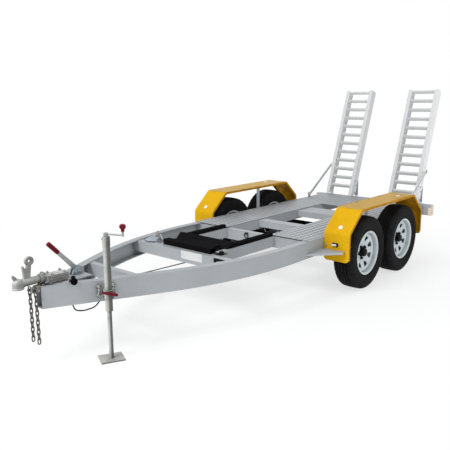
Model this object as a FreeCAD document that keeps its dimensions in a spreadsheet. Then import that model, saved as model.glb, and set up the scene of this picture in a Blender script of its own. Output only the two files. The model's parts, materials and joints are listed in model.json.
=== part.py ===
import FreeCAD, Part
import Sketcher
import math
import os

# Tandem trailer with two deck tracks and fold-down ladder ramps.
# Millimetres. +X runs forward to the coupling, +Y to the left, +Z up.
# The origin is on the ground, under the middle of the trailer's outline.

Vector = FreeCAD.Vector
doc = FreeCAD.newDocument("Trailer")

# Driving sizes, each in one cell of the sheet.
SIZES = {
    # running gear
    "axle_spacing": 765, "tyre_radius": 346.5, "tyre_width": 198, "tread_width": 150,
    "tyre_waist_radius": 290, "rim_seat_radius": 194, "rim_flange_radius": 208, "rim_width": 176,
    "rim_lip": 8, "rim_drop": 10, "wheel_side": 830, "disc_inset": 43, "disc_thick": 5,
    "disc_hub_radius": 72, "disc_dish": 25,
    "hole_inner": 112, "hole_outer": 148, "hole_wide": 28, "hole_narrow": 18, "hub_radius": 55,
    "cap_radius": 40,
    "cap_length": 43, "drum_radius": 128, "drum_width": 62, "spindle_radius": 20,
    "axle_square": 50, "axle_gap": 8, "rim_fit": 0.3, "nut_face": 4, "stay_face": 0.3,
    # chassis
    "rail_height": 150, "rail_bottom": 388, "rail_web": 6, "rail_flange": 65, "rail_flange_thick": 8,
    "rail_outer": 681, "nose_half": 30, "drawbar_angle": 26, "rail_bend": 3000, "rail_front": 3255,
    "deck_plate": 5, "deck_front": 1040, "deck_rear": 1435, "track_inner": 260,
    "track_beam": 50, "track_beam_height": 100, "tube_wall": 4,
    "cross_depth": 50, "cross_height": 75, "cross_front_height": 110, "mid_cross": 415,
    "mid_cross_depth": 120,
    "axle_cross": -470, "axle_cross_depth": 280,
    "head_cross": 2665, "head_cross_height": 100, "front_cross": 1950, "front_cross_depth": 75,
    "front_cross_height": 95, "carrier_beam_height": 92,
    "rear_cross_depth": 65, "rear_cross_height": 125, "rear_cross_half": 790,
    "panel_front": -700,
    # carrier frame on top of the drawbar
    "carrier_front": 1885, "carrier_front_bar": 65, "carrier_left": 290, "carrier_right": 262,
    "carrier_height": 46, "carrier_bar": 45, "carrier_wall": 5, "carrier_side_left": 292,
    "carrier_side_right": 320, "carrier_side_height": 34, "carrier_tie": 200, "carrier_tie_height": 20,
    "stop_back": 210, "stop_run": 54, "stop_height": 52, "stop_lip": 24,
    # mudguards
    "guard_inner": 682, "guard_outer": 938, "guard_top": 788, "guard_knee": 565, "guard_flap": 787,
    "guard_bend": 595, "guard_bottom": 331, "guard_sheet": 4, "strut_width": 50, "strut_thick": 6,
    "guard_bend_radius": 60, "guard_corner": 35, "guard_lip": 24, "step_height": 40,
    "step_run": 300, "step_level": 430, "step_width": 222, "step_lip": 18,
    # leaf springs
    "spring_half": 330, "spring_rise": 50, "spring_seat": 0.4, "spring_thick": 24, "spring_width": 45,
    "hanger_wall": 6, "hanger_length": 44, "spring_pin_radius": 9, "spring_side": 648,
    # coupling and drawbar head
    "ball_x": 3400, "ball_rise": 45, "ball_radius": 25, "ball_fit": 0.3, "head_radius": 35, "head_lip": 4,
    "shaft_radius": 25, "neck_radius": 29, "boss_length": 42, "housing_front": 3206, "housing_rear": 3045,
    "housing_half": 42, "housing_height": 60, "head_plate": 8, "tongue_rear": 2870, "tongue_half": 62,
    "handle_x": 3311, "handle_foot": 3341, "handle_foot_half": 24, "handle_top_half": 15,
    "handle_rise": 182, "handle_ring": 31, "handle_hole": 11, "handle_thick": 22, "trigger_thick": 14,
    "trigger_rise": 66, "spur_rise": 112, "spur_run": 54,
    "lever_x": 2909, "lever_rise": 239, "lever_run": 230, "lever_width": 36, "lever_thick": 12,
    "grip_length": 105, "grip_radius": 16, "sector_radius": 62, "lever_side": -42,
    "bush_radius": 21, "bush_length": 19, "bush_x": 3073, "bush_rise": 12, "bush_gap": 2,
    "bush_pin_radius": 7, "bush_pin_length": 32,
    # safety chains
    "chain_pitch": 33, "chain_wire": 9, "chain_width": 28, "chain_x": 3300, "chain_links": 11,
    "chain_side": 36, "chain_pin_drop": 22, "chain_pin_radius": 4.5, "chain_lug_thick": 12,
    "chain_play": 0.3,
    # parking jack
    "jack_x": 2876, "jack_offset": 100, "jack_radius": 25, "jack_top": 865, "jack_tube_bottom": 350,
    "jack_leg_radius": 16, "jack_foot_length": 165, "jack_foot_width": 140, "jack_foot_thick": 8,
    "jack_plate": 120, "jack_plate_thick": 8, "jack_plate_z": 470, "crank_length": 130,
    "crank_turn": 70, "crank_radius": 6, "crank_head_radius": 15, "crank_head": 27,
    "knob_radius": 21, "knob_neck": 11, "knob_length": 50,
    "leg_clearance": 0.3,
    "jack_overlap": 60, "spigot_radius": 20, "collar_disc_radius": 27, "pull_radius": 7, "pull_length": 105,
    "pull_tilt": 16,
    # ramps
    "ramp_angle": 19, "ramp_pin_x": -1530, "ramp_pin_z": 500, "ramp_face": 150, "ramp_depth": 100,
    "ramp_stringer": 45, "ramp_inner": 246, "ramp_outer": 618, "ramp_length": 1410,
    "ramp_heel_gap": 8, "rung_first": 130, "rung_end": 26.5, "rung_count": 12, "rung_leg": 32,
    "rung_wall": 4, "ear_thick": 8, "pin_radius": 10, "pin_clearance": 0.05, "ear_radius": 20,
    "ramp_wall": 5, "ear_height": 240, "ear_foot": 110, "lug_gap": 1,
    "stay_gap": 30, "keeper_gap": 5.3, "stay_pin_depth": 110, "stay_pin_radius": 8,
    "stay_up": 407, "stay_x": -1050, "stay_z": 585, "stay_width": 42, "stay_thick": 6,
    # lamps, plate and brake line
    "lamp_height": 90, "lamp_width": 80, "lamp_depth": 30,
    "marker_width": 58, "marker_height": 30, "marker_depth": 14, "marker_side": 800, "marker_level": 469,
    "plate_width": 236, "plate_height": 68, "plate_thick": 2, "plate_side": 139, "plate_level": 501,
    "brake_rod_radius": 5, "brake_rod_front": 420, "hose_radius": 4.5, "hose_front": 3068,
    "hose_inset": 22.5,
}

sheet = doc.addObject("Spreadsheet::Sheet", "Sheet")
for row, (alias, number) in enumerate(SIZES.items(), start=1):
    sheet.set(f"A{row}", alias)
    sheet.set(f"B{row}", str(number))
    sheet.setAlias(f"B{row}", alias)
doc.recompute()


class Size:
    """A length or angle, with the sheet expression that gives it."""

    def __init__(self, value, text):
        self.value = float(value)
        self.text = text

    def __float__(self):
        return self.value

    def __add__(self, other):
        return merge(self, "+", other, self.value + float(other))

    def __radd__(self, other):
        return merge(other, "+", self, float(other) + self.value)

    def __sub__(self, other):
        return merge(self, "-", other, self.value - float(other))

    def __rsub__(self, other):
        return merge(other, "-", self, float(other) - self.value)

    def __mul__(self, other):
        return merge(self, "*", other, self.value * float(other))

    def __rmul__(self, other):
        return merge(other, "*", self, float(other) * self.value)

    def __truediv__(self, other):
        return merge(self, "/", other, self.value / float(other))

    def __rtruediv__(self, other):
        return merge(other, "/", self, float(other) / self.value)

    def __neg__(self):
        return Size(-self.value, f"(-{self.text})")


def text_of(thing):
    if isinstance(thing, Size):
        return thing.text
    return f"({float(thing)!r})"


def merge(left, sign, right, value):
    return Size(value, f"({text_of(left)} {sign} {text_of(right)})")


def sine(angle):
    return Size(math.sin(math.radians(float(angle))), f"sin({text_of(angle)})")


def cosine(angle):
    return Size(math.cos(math.radians(float(angle))), f"cos({text_of(angle)})")


def tangent(angle):
    return Size(math.tan(math.radians(float(angle))), f"tan({text_of(angle)})")


def root(number):
    return Size(math.sqrt(float(number)), f"sqrt({text_of(number)})")


def turn_of(rise, run):
    """Angle in degrees whose tangent is rise over run."""
    degrees = math.degrees(math.atan(float(rise) / float(run)))
    return Size(degrees, f"(atan({text_of(rise)} / {text_of(run)}) / 1deg)")


class Sizes:
    """Each driving size by its name."""


s = Sizes()
for alias in SIZES:
    setattr(s, alias, Size(sheet.get(alias), f"Sheet.{alias}"))

nodes = {}


def node(label, item):
    """Names a finished piece of the trailer."""
    item.Label = label
    nodes[label] = item
    return item


def bind(item, prop, size):
    item.setExpression(prop, text_of(size))


def at(item, x, y, z):
    for axis, size in zip("xyz", (x, y, z)):
        bind(item, f"Placement.Base.{axis}", size)
    return item


def turned(item, axis, angle):
    """Turns a piece about an axis through its own origin."""
    item.Placement.Rotation = FreeCAD.Rotation(axis, float(angle))
    bind(item, "Placement.Rotation.Angle", angle)
    return item


def block(name, x, y, z):
    """Block between the low and high ends of its three spans."""
    item = doc.addObject("Part::Box", name)
    for prop, span in (("Length", x), ("Width", y), ("Height", z)):
        bind(item, prop, size_sum(span[1], -1, span[0]))
    return at(item, x[0], y[0], z[0])


def size_sum(first, factor, second):
    return Size(float(first) + factor * float(second),
                f"({text_of(first)} + ({factor}) * {text_of(second)})")


TURN_TO = {"x": (Vector(0, 1, 0), 90), "y": (Vector(1, 0, 0), -90), "z": (Vector(0, 0, 1), 0)}


def rod(name, axis, start, length, radius):
    """Round bar along one axis."""
    item = doc.addObject("Part::Cylinder", name)
    item.Placement.Rotation = FreeCAD.Rotation(*TURN_TO[axis])
    bind(item, "Height", length)
    bind(item, "Radius", radius)
    return at(item, *start)


def join(name, *items):
    item = doc.addObject("Part::MultiFuse", name)
    item.Shapes = list(items)
    item.Refine = True
    return item


def group(name, *items):
    """Like pieces on one body that don't touch."""
    item = doc.addObject("Part::Compound", name)
    item.Links = list(items)
    return item


def remove(name, base, tool):
    item = doc.addObject("Part::Cut", name)
    item.Base = base
    item.Tool = tool
    return item


def mirrored(name, source):
    """The same piece on the trailer's other side."""
    item = doc.addObject("Part::Mirroring", name)
    item.Source = source
    item.Normal = Vector(0, 1, 0)
    return item


def body(name):
    return doc.addObject("PartDesign::Body", name)


def plane_of(owner, role):
    return next(item for item in owner.Origin.OriginFeatures if item.Role == role)


def bulge_centre(a, b, radius):
    """Centre of the arc from a to b, left of the way when the radius is positive."""
    half = (b - a) * 0.5
    side = Vector(-half.y, half.x, 0).normalize()
    reach = math.sqrt(max(radius * radius - half.Length ** 2, 0))
    return a + half + side * (reach if radius > 0 else -reach)


def halfway(first, second):
    """Middle of a half circle's two ends, where its centre lies."""
    return size_sum(size_sum(first, 1, second) / 2, 0, 0)


def draw(sketch, outline):
    """Closed outline of corners (u, v); a third value is the radius of the arc to the next corner."""
    first = sketch.GeometryCount
    points = [Vector(float(corner[0]), float(corner[1]), 0) for corner in outline]
    starts = []
    ends = []
    rules = []
    named = []
    for index, corner in enumerate(outline):
        a = points[index]
        b = points[(index + 1) % len(points)]
        here = first + index
        if len(corner) == 3:
            centre = bulge_centre(a, b, float(corner[2]))
            span = [math.atan2(p.y - centre.y, p.x - centre.x) for p in (a, b)]
            forward = float(corner[2]) > 0
            if not forward:
                span.reverse()
            circle = Part.Circle(centre, Vector(0, 0, 1), abs(float(corner[2])))
            sketch.addGeometry(Part.ArcOfCircle(circle, span[0], span[1]), False)
            starts.append((here, 1 if forward else 2))
            ends.append((here, 2 if forward else 1))
            if abs(abs(float(corner[2])) - (b - a).Length / 2) > 1e-6:
                rules.append(Sketcher.Constraint("Radius", here, abs(float(corner[2]))))
                named.append(corner[2] if forward else -corner[2])
            else:
                level = 0 if abs(b.y - a.y) > abs(b.x - a.x) else 1
                kind = ("DistanceX", "DistanceY")[level]
                rules.append(Sketcher.Constraint(kind, -1, 1, here, 3, centre[level]))
                named.append(halfway(corner[level], outline[(index + 1) % len(outline)][level]))
        else:
            sketch.addGeometry(Part.LineSegment(a, b), False)
            starts.append((here, 1))
            ends.append((here, 2))
    for index, corner in enumerate(outline):
        rules.append(Sketcher.Constraint("DistanceX", -1, 1, *starts[index], points[index].x))
        rules.append(Sketcher.Constraint("DistanceY", -1, 1, *starts[index], points[index].y))
        named.extend(corner[:2])
    base = sketch.ConstraintCount
    sketch.addConstraint(rules)
    for offset, size in enumerate(named):
        bind(sketch, f"Constraints[{base + offset}]", size)
    for index in range(len(outline)):
        following = (index + 1) % len(outline)
        sketch.addConstraint(Sketcher.Constraint("Coincident", *ends[index], *starts[following]))


def ring(sketch, u, v, radius):
    """Full circle in a sketch."""
    here = sketch.GeometryCount
    sketch.addGeometry(Part.Circle(Vector(float(u), float(v), 0), Vector(0, 0, 1), float(radius)), False)
    base = sketch.ConstraintCount
    sketch.addConstraint([
        Sketcher.Constraint("DistanceX", -1, 1, here, 3, float(u)),
        Sketcher.Constraint("DistanceY", -1, 1, here, 3, float(v)),
        Sketcher.Constraint("Radius", here, float(radius)),
    ])
    for offset, size in enumerate((u, v, radius)):
        bind(sketch, f"Constraints[{base + offset}]", size)


def outline_on(owner, name, plane, offset, *outlines, rings=()):
    """Sketch of closed outlines on one of the body's planes, moved along its normal."""
    sketch = owner.newObject("Sketcher::SketchObject", name)
    sketch.AttachmentSupport = [(plane_of(owner, plane), "")]
    sketch.MapMode = "FlatFace"
    bind(sketch, "AttachmentOffset.Base.z", offset)
    for outline in outlines:
        draw(sketch, outline)
    for circle in rings:
        ring(sketch, *circle)
    return sketch


def pad(owner, sketch, length, middle=False, back=False):
    item = owner.newObject("PartDesign::Pad", sketch.Name + "Pad")
    item.Profile = sketch
    bind(item, "Length", length)
    item.SideType = "Symmetric" if middle else "One side"
    item.Reversed = back
    return item


def pocket(owner, sketch, length, back=False):
    item = owner.newObject("PartDesign::Pocket", sketch.Name + "Pocket")
    item.Profile = sketch
    bind(item, "Length", length)
    item.Reversed = back
    return item


def revolve(owner, sketch, axis="V_Axis"):
    item = owner.newObject("PartDesign::Revolution", sketch.Name + "Turned")
    item.Profile = sketch
    item.ReferenceAxis = (sketch, [axis])
    item.Angle = 360
    return item


def sheet_metal(label, plane, offset, outline, thickness, rings=(), middle=False, back=False):
    """One flat plate cut to an outline."""
    owner = body(label)
    pad(owner, outline_on(owner, label + "Outline", plane, offset, outline, rings=rings), thickness,
        middle=middle, back=back)
    return owner


# Levels and places that the rest of the trailer hangs on.
rail_top = s.rail_bottom + s.rail_height
deck_top = rail_top + s.deck_plate
lean_sine = sine(s.ramp_angle)
lean_cosine = cosine(s.ramp_angle)
nose_reach = s.ball_x + s.head_radius + s.head_lip
tail_reach = (s.ramp_length * lean_sine - (s.ramp_face - s.ramp_depth) * lean_cosine) - s.ramp_pin_x
axles_x = (tail_reach - nose_reach) / 2


def along(x):
    """Place along the trailer, counted forward from midway between the axles."""
    return axles_x + x


def mirrored_node(label, source):
    return node(label, mirrored(label, source))


# Chassis rails: channels that run straight under the deck and bend in to the coupling.
drawbar_sine = sine(s.drawbar_angle)
drawbar_cosine = cosine(s.drawbar_angle)
drawbar_slope = tangent(s.drawbar_angle)
bend_tangent = s.rail_bend * tangent(s.drawbar_angle / 2)
bend_corner = s.rail_front - (s.rail_outer - s.nose_half) / drawbar_slope
bend_start = bend_corner - bend_tangent
rear_end = along(-s.deck_rear)


def rail_outline(width):
    """Plan of a strip of the rail, from its outer face inwards, mitred on the centreline."""
    radius = s.rail_bend - width
    centre_y = s.rail_outer - s.rail_bend
    return [
        (along(s.rail_front), s.nose_half),
        (along(bend_start + s.rail_bend * drawbar_sine), centre_y + s.rail_bend * drawbar_cosine,
         s.rail_bend),
        (along(bend_start), s.rail_outer),
        (rear_end, s.rail_outer),
        (rear_end, s.rail_outer - width),
        (along(bend_start), s.rail_outer - width, -radius),
        (along(bend_start + radius * drawbar_sine), centre_y + radius * drawbar_cosine),
    ]


def rail_face(x):
    """Outer face of the left rail along the straight part of the drawbar."""
    return s.nose_half + (s.rail_front - x) * drawbar_slope


mitre_x = s.rail_front - (s.rail_flange / drawbar_cosine - s.nose_half) / drawbar_slope
web_front_y = s.nose_half - s.rail_web / drawbar_cosine
rail_left = body("rail_left")
web = outline_on(rail_left, "RailWeb", "XY_Plane", s.rail_bottom,
                 rail_outline(s.rail_web) + [(along(s.rail_front), web_front_y)])
pad(rail_left, web, s.rail_height)
flange_outline = rail_outline(s.rail_flange) + [(along(mitre_x), 0), (along(s.rail_front), 0)]
pad(rail_left, outline_on(rail_left, "RailFoot", "XY_Plane", s.rail_bottom, flange_outline),
    s.rail_flange_thick)
pad(rail_left, outline_on(rail_left, "RailHead", "XY_Plane", rail_top, flange_outline),
    s.rail_flange_thick, back=True)
node("rail_left", rail_left)
mirrored_node("rail_right", rail_left)

# Crossmembers of the drawbar, cut to the rails' webs.
def drawbar_reach(x):
    """Inner face of the rail's web at a place on the drawbar's straight part."""
    return rail_face(x) - s.rail_web / drawbar_cosine


head_bottom = rail_top - s.rail_flange_thick - s.head_cross_height
head_rear = s.head_cross - s.cross_depth
node("head_crossmember", sheet_metal("head_crossmember", "XY_Plane", head_bottom, [
    (along(s.head_cross), drawbar_reach(s.head_cross)),
    (along(head_rear), drawbar_reach(head_rear)),
    (along(head_rear), -drawbar_reach(head_rear)),
    (along(s.head_cross), -drawbar_reach(s.head_cross)),
], s.head_cross_height))


def bend_reach(x):
    """Inner face of the rail's web at a place on the bend."""
    inner = s.rail_bend - s.rail_web
    run = x - bend_start
    return s.rail_outer - s.rail_bend + root(inner * inner - run * run)


front_rear = s.front_cross - s.front_cross_depth
front_level = rail_top - s.rail_flange_thick
front_bar_plate = sheet_metal("FrontCross", "XY_Plane", front_level - s.front_cross_height, [
    (along(s.front_cross), bend_reach(s.front_cross)),
    (along(front_rear), bend_reach(s.front_cross)),
    (along(front_rear), -bend_reach(s.front_cross)),
    (along(s.front_cross), -bend_reach(s.front_cross)),
], s.front_cross_height)

# Deck tracks: inner beams, crossmembers and chequer plates.
beam_bottom = rail_top - s.track_beam_height
beam_outer = s.track_inner + s.track_beam
front_beam_end = along(s.deck_front - s.cross_depth)
rear_beam_end = along(-s.deck_rear + s.rear_cross_depth)


def tube(name, x, y, z, wall, axis="x"):
    """Rectangular tube, open at both ends."""
    outer = block(name + "Outer", x, y, z)
    spans = {"x": x, "y": y, "z": z}
    inner_spans = [spans[key] if key == axis else (spans[key][0] + wall, spans[key][1] - wall)
                   for key in "xyz"]
    return remove(name, outer, block(name + "Inner", *inner_spans))


carrier_beam = tube("CarrierBeam", (along(s.deck_front), along(front_rear)),
                    (s.track_inner, beam_outer), (front_level - s.carrier_beam_height, front_level),
                    s.tube_wall)
node("front_crossmember", join("front_crossmember", front_bar_plate, carrier_beam,
                               mirrored("CarrierBeamRight", carrier_beam)))
track_beam = tube("track_beam_left", (rear_beam_end, front_beam_end), (s.track_inner, beam_outer),
                  (beam_bottom, rail_top), s.tube_wall)
node("track_beam_left", track_beam)
mirrored_node("track_beam_right", track_beam)

web_inside = s.rail_outer - s.rail_web
CROSSMEMBERS = (("Front", s.deck_front - s.cross_depth, s.cross_depth, s.cross_front_height, True),
                ("Mid", s.mid_cross, s.mid_cross_depth, s.cross_height, False),
                ("Axle", s.axle_cross, s.axle_cross_depth, s.cross_height, False))
cross_parts = []
for name, x, depth, height, whole in CROSSMEMBERS:
    span = (along(x), along(x + depth))
    level = (rail_top - height, rail_top - s.rail_flange_thick)
    if whole:
        cross_parts.append(tube(f"Cross{name}", span, (-web_inside, web_inside), level, s.tube_wall, "y"))
        continue
    cross_parts.append(tube(f"Cross{name}", span, (-s.track_inner, s.track_inner), level,
                            s.tube_wall, "y"))
    cross_parts.append(tube(f"Cross{name}Left", span, (beam_outer, web_inside), level, s.tube_wall, "y"))
    cross_parts.append(mirrored(f"Cross{name}Right", cross_parts[-1]))
node("deck_crossmembers", group("deck_crossmembers", *cross_parts))

rear_cross_bottom = rail_top - s.rear_cross_height
rear_cross = tube("RearCross", (along(-s.deck_rear), along(-s.deck_rear + s.rear_cross_depth)),
                  (-web_inside, web_inside), (rear_cross_bottom, rail_top - s.rail_flange_thick),
                  s.tube_wall, "y")
bumper_span = (along(-s.deck_rear - s.rear_cross_depth), along(-s.deck_rear))
bumper = tube("RearBumper", bumper_span, (-s.rear_cross_half, s.rear_cross_half),
              (rear_cross_bottom, rail_top), s.tube_wall, "y")
node("rear_crossmember", group("rear_crossmember", rear_cross, bumper))

track_plate = block("track_plate_left", (along(-s.deck_rear), along(s.deck_front)),
                    (s.track_inner, s.rail_outer), (rail_top, deck_top))
node("track_plate_left", track_plate)
mirrored_node("track_plate_right", track_plate)
node("rear_panel", block("rear_panel", (along(-s.deck_rear), along(s.panel_front)),
                         (-s.track_inner, s.track_inner), (rail_top, deck_top)))

# Black carrier frame that lies on the beams ahead of the tracks, with its sloped stop.
# Two short ties run from the front bar to the stop and two side bars from the stop to the tracks.
front_bar_rear = s.carrier_front - s.carrier_front_bar
carrier_parts = [tube("CarrierFront", (along(front_bar_rear), along(s.carrier_front)),
                      (-s.carrier_right, s.carrier_left), (front_level, front_level + s.carrier_height),
                      s.carrier_wall, "y")]
stop_top = front_level + s.stop_height
stop_front = s.carrier_front - s.stop_back
side_front = stop_front - s.stop_run * s.carrier_side_height / s.stop_height - s.carrier_wall
tie_rear = stop_front - s.carrier_wall * 3
for name, side_low, tie_low in (("Left", s.carrier_side_left - s.carrier_bar, s.carrier_tie - s.carrier_bar),
                                ("Right", -s.carrier_side_right, -s.carrier_tie)):
    carrier_parts.append(tube(f"CarrierSide{name}", (along(s.deck_front), along(side_front)),
                              (side_low, side_low + s.carrier_bar),
                              (front_level, front_level + s.carrier_side_height), s.carrier_wall))
    carrier_parts.append(tube(f"CarrierTie{name}", (along(tie_rear), along(front_bar_rear)),
                              (tie_low, tie_low + s.carrier_bar),
                              (front_level, front_level + s.carrier_tie_height), s.carrier_wall))
carrier_stop = sheet_metal("CarrierStop", "XZ_Plane", s.carrier_side_right, [
    (along(stop_front), front_level), (along(stop_front - s.stop_run), stop_top),
    (along(stop_front - s.stop_run - s.stop_lip), stop_top),
    (along(stop_front - s.stop_run - s.stop_lip), stop_top - s.carrier_wall),
    (along(stop_front - s.stop_run - s.carrier_wall / 2), stop_top - s.carrier_wall),
    (along(stop_front - s.carrier_wall * 1.5), front_level),
], s.carrier_side_left + s.carrier_side_right, back=True)
node("carrier_frame", join("carrier_frame", *carrier_parts, carrier_stop))

# Axles, drums, hubs, rims and tyres.
wheel_z = s.tyre_radius
AXLES = (("front", s.axle_spacing / 2), ("rear", -s.axle_spacing / 2))
spindle_reach = s.wheel_side + s.rim_width / 2 - s.disc_inset - s.disc_dish + s.spindle_radius / 2
drum_inner = s.wheel_side - s.rim_width / 2 - s.drum_width / 2
for name, x in AXLES:
    half = s.axle_square / 2
    beam = block(f"Axle{name}Beam", (along(x - half), along(x + half)),
                 (-drum_inner + s.axle_gap, drum_inner - s.axle_gap), (wheel_z - half, wheel_z + half))
    spindle = rod(f"Axle{name}Spindle", "y", (along(x), -spindle_reach, wheel_z), spindle_reach * 2,
                  s.spindle_radius)
    node(f"axle_{name}", join(f"axle_{name}", beam, spindle))

disc_y = s.rim_width / 2 - s.disc_inset
WHEELS = (("front_left", s.axle_spacing / 2, 1), ("front_right", s.axle_spacing / 2, -1),
          ("rear_left", -s.axle_spacing / 2, 1), ("rear_right", -s.axle_spacing / 2, -1))


def on_axle(item, x, side):
    """Puts a wheel piece, made about its own centre, on its axle."""
    at(item, along(x), s.wheel_side * side, wheel_z)
    item.Placement.Rotation = FreeCAD.Rotation(Vector(0, 0, 1), 0 if side > 0 else 180)
    at(item, along(x), s.wheel_side * side, wheel_z)
    return item


def tyre(name):
    owner = body(name)
    half = s.tyre_width / 2
    tread = s.tread_width / 2
    bead = s.rim_width / 2 - s.rim_lip - s.rim_drop / 2
    revolve(owner, outline_on(owner, name + "Section", "XY_Plane", 0, [
        (s.rim_seat_radius, -bead), (s.rim_seat_radius, bead), (s.tyre_waist_radius, half),
        (s.tyre_radius, tread), (s.tyre_radius, -tread), (s.tyre_waist_radius, -half),
    ]))
    return owner


WINDOWS = 8
window_turn = 180 / WINDOWS
window_sine = math.sin(math.radians(window_turn))
window_cosine = math.cos(math.radians(window_turn))


def window_corner(across, reach):
    """Corner of the first window, which stands half a pitch off the upright."""
    return (reach * window_sine + across * window_cosine, reach * window_cosine - across * window_sine)


def rim(name):
    owner = body(name)
    half = s.rim_width / 2
    seat = s.rim_seat_radius - s.rim_fit
    barrel = seat - s.rim_lip
    revolve(owner, outline_on(owner, name + "Section", "XY_Plane", 0, [
        (barrel, -half), (s.rim_flange_radius, -half), (s.rim_flange_radius, s.rim_lip - half),
        (seat, s.rim_lip - half), (seat, half - s.rim_lip), (s.rim_flange_radius, half - s.rim_lip),
        (s.rim_flange_radius, half), (barrel, half),
        (barrel, disc_y), (s.disc_hub_radius, disc_y - s.disc_dish),
        (s.spindle_radius * 1.6, disc_y - s.disc_dish),
        (s.spindle_radius * 1.6, disc_y - s.disc_dish - s.disc_thick),
        (s.disc_hub_radius, disc_y - s.disc_dish - s.disc_thick), (barrel, disc_y - s.disc_thick),
    ]))
    window = outline_on(owner, name + "Window", "XZ_Plane", -disc_y - s.disc_thick, [
        window_corner(-s.hole_narrow, s.hole_inner), window_corner(s.hole_narrow, s.hole_inner),
        window_corner(s.hole_wide, s.hole_outer), window_corner(-s.hole_wide, s.hole_outer)])
    cut = pocket(owner, window, s.disc_dish + s.disc_thick * 3, back=True)
    doc.recompute()
    windows = owner.newObject("PartDesign::PolarPattern", name + "Windows")
    windows.Originals = [cut]
    windows.Axis = (plane_of(owner, "Y_Axis"), [""])
    windows.Angle = 360
    windows.Occurrences = WINDOWS
    owner.Tip = windows
    return owner


def hub(name):
    owner = body(name)
    face = disc_y - s.disc_dish - s.disc_thick
    bore = s.spindle_radius + s.pin_clearance
    drum_back = drum_inner - s.wheel_side
    cap_end = face + s.disc_thick + s.cap_length
    revolve(owner, outline_on(owner, name + "Section", "XY_Plane", 0, [
        (bore, drum_back), (s.drum_radius, drum_back), (s.drum_radius, drum_back + s.drum_width),
        (s.hub_radius, drum_back + s.drum_width), (s.hub_radius, face), (s.spindle_radius * 1.6, face),
        (s.spindle_radius * 1.6, face + s.disc_thick + s.nut_face),
        (s.cap_radius, face + s.disc_thick + s.nut_face),
        (s.cap_radius, cap_end - s.rim_drop), (s.cap_radius - s.rim_drop, cap_end), (0, cap_end),
        (0, cap_end - s.rim_drop), (bore, cap_end - s.rim_drop),
    ]))
    return owner


for place, x, side in WHEELS:
    for kind, maker in (("tyre", tyre), ("rim", rim), ("hub", hub)):
        label = f"{kind}_{place}"
        node(label, on_axle(maker(label), x, side))

# Parking jack: a swing mount on the left rail, a tube with its crank, and the winding leg.
jack_rail_y = rail_face(s.jack_x)
jack_x = along(s.jack_x + s.jack_offset * drawbar_sine)
jack_y = jack_rail_y + s.jack_offset * drawbar_cosine
leg_bore = s.jack_leg_radius + s.leg_clearance
collar_radius = s.jack_radius + s.jack_plate_thick
collar_run = s.jack_offset - collar_radius - s.jack_plate_thick / 2
spigot_run = collar_run - s.leg_clearance
jack_outer = rod("JackOuter", "z", (jack_x, jack_y, s.jack_tube_bottom), s.jack_top - s.jack_tube_bottom,
                 s.jack_radius)
jack_bore = rod("JackBore", "z", (jack_x, jack_y, s.jack_tube_bottom),
                s.jack_top - s.jack_tube_bottom - s.jack_plate_thick, leg_bore)
node("jack_tube", remove("jack_tube", jack_outer, jack_bore))


def along_rail(item, x, y, z):
    """Sets a piece, made square to the trailer, in line with the left rail."""
    turned(item, Vector(0, 0, -1), s.drawbar_angle)
    return at(item, x, y, z)


def centred(length, width):
    """Rectangle about the sketch's origin."""
    return [(-length / 2, -width / 2), (length / 2, -width / 2), (length / 2, width / 2),
            (-length / 2, width / 2)]


foot = along_rail(sheet_metal("JackFoot", "XY_Plane", 0, centred(s.jack_foot_length, s.jack_foot_width),
                              s.jack_foot_thick), jack_x, jack_y, 0)
leg_bar = rod("JackLegBar", "z", (jack_x, jack_y, s.jack_foot_thick / 2),
              s.jack_tube_bottom + s.jack_overlap, s.jack_leg_radius)
node("jack_leg", join("jack_leg", leg_bar, foot))
crank_z = s.jack_top + s.crank_head * 2 / 3
crank_post = rod("CrankPost", "z", (jack_x, jack_y, s.jack_top), s.crank_head, s.crank_head_radius)
crank_arm = body("CrankArm")
pad(crank_arm, outline_on(crank_arm, "CrankSection", "YZ_Plane", 0, rings=((0, 0, s.crank_radius),)),
    s.crank_length)
turned(crank_arm, Vector(0, 0, 1), 180 - s.crank_turn)
at(crank_arm, jack_x, jack_y, crank_z)
knob_x = jack_x - s.crank_length * cosine(s.crank_turn)
knob_y = jack_y + s.crank_length * sine(s.crank_turn)
crank_pin = rod("CrankPin", "z", (knob_x, knob_y, crank_z - s.crank_radius * 1.3),
                s.crank_radius * 5.6, s.crank_radius * 1.3)
node("jack_crank", join("jack_crank", crank_post, crank_arm, crank_pin))
knob = body("jack_knob")
revolve(knob, outline_on(knob, "KnobSection", "XZ_Plane", 0, [
    (0, 0), (s.knob_neck, 0), (s.knob_neck, s.knob_length * 0.35), (s.knob_radius, s.knob_length * 0.5),
    (s.knob_radius, s.knob_length * 0.85), (s.knob_neck, s.knob_length), (0, s.knob_length),
]))
node("jack_knob", at(knob, knob_x, knob_y, crank_z + s.crank_radius * 4.3))

mount = body("jack_mount")
pad(mount, outline_on(mount, "MountPlate", "XZ_Plane", -s.jack_plate_thick,
                      centred(s.jack_plate, s.jack_plate * 0.75)), s.jack_plate_thick)
pad(mount, outline_on(mount, "MountSpigot", "XZ_Plane", -spigot_run, rings=((0, 0, s.spigot_radius),)),
    spigot_run - s.jack_plate_thick)
node("jack_mount", along_rail(mount, along(s.jack_x), jack_rail_y, s.jack_plate_z))
disc_end = s.jack_offset - s.jack_radius - s.jack_plate_thick / 2
disc = body("CollarDisc")
pad(disc, outline_on(disc, "CollarFace", "XZ_Plane", -disc_end, rings=((0, 0, s.collar_disc_radius),)),
    disc_end - collar_run)
along_rail(disc, along(s.jack_x), jack_rail_y, s.jack_plate_z)
collar_low = s.jack_plate_z - s.spigot_radius * 1.5
collar = rod("JackCollar", "z", (jack_x, jack_y, collar_low), s.spigot_radius * 3, collar_radius)
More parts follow.
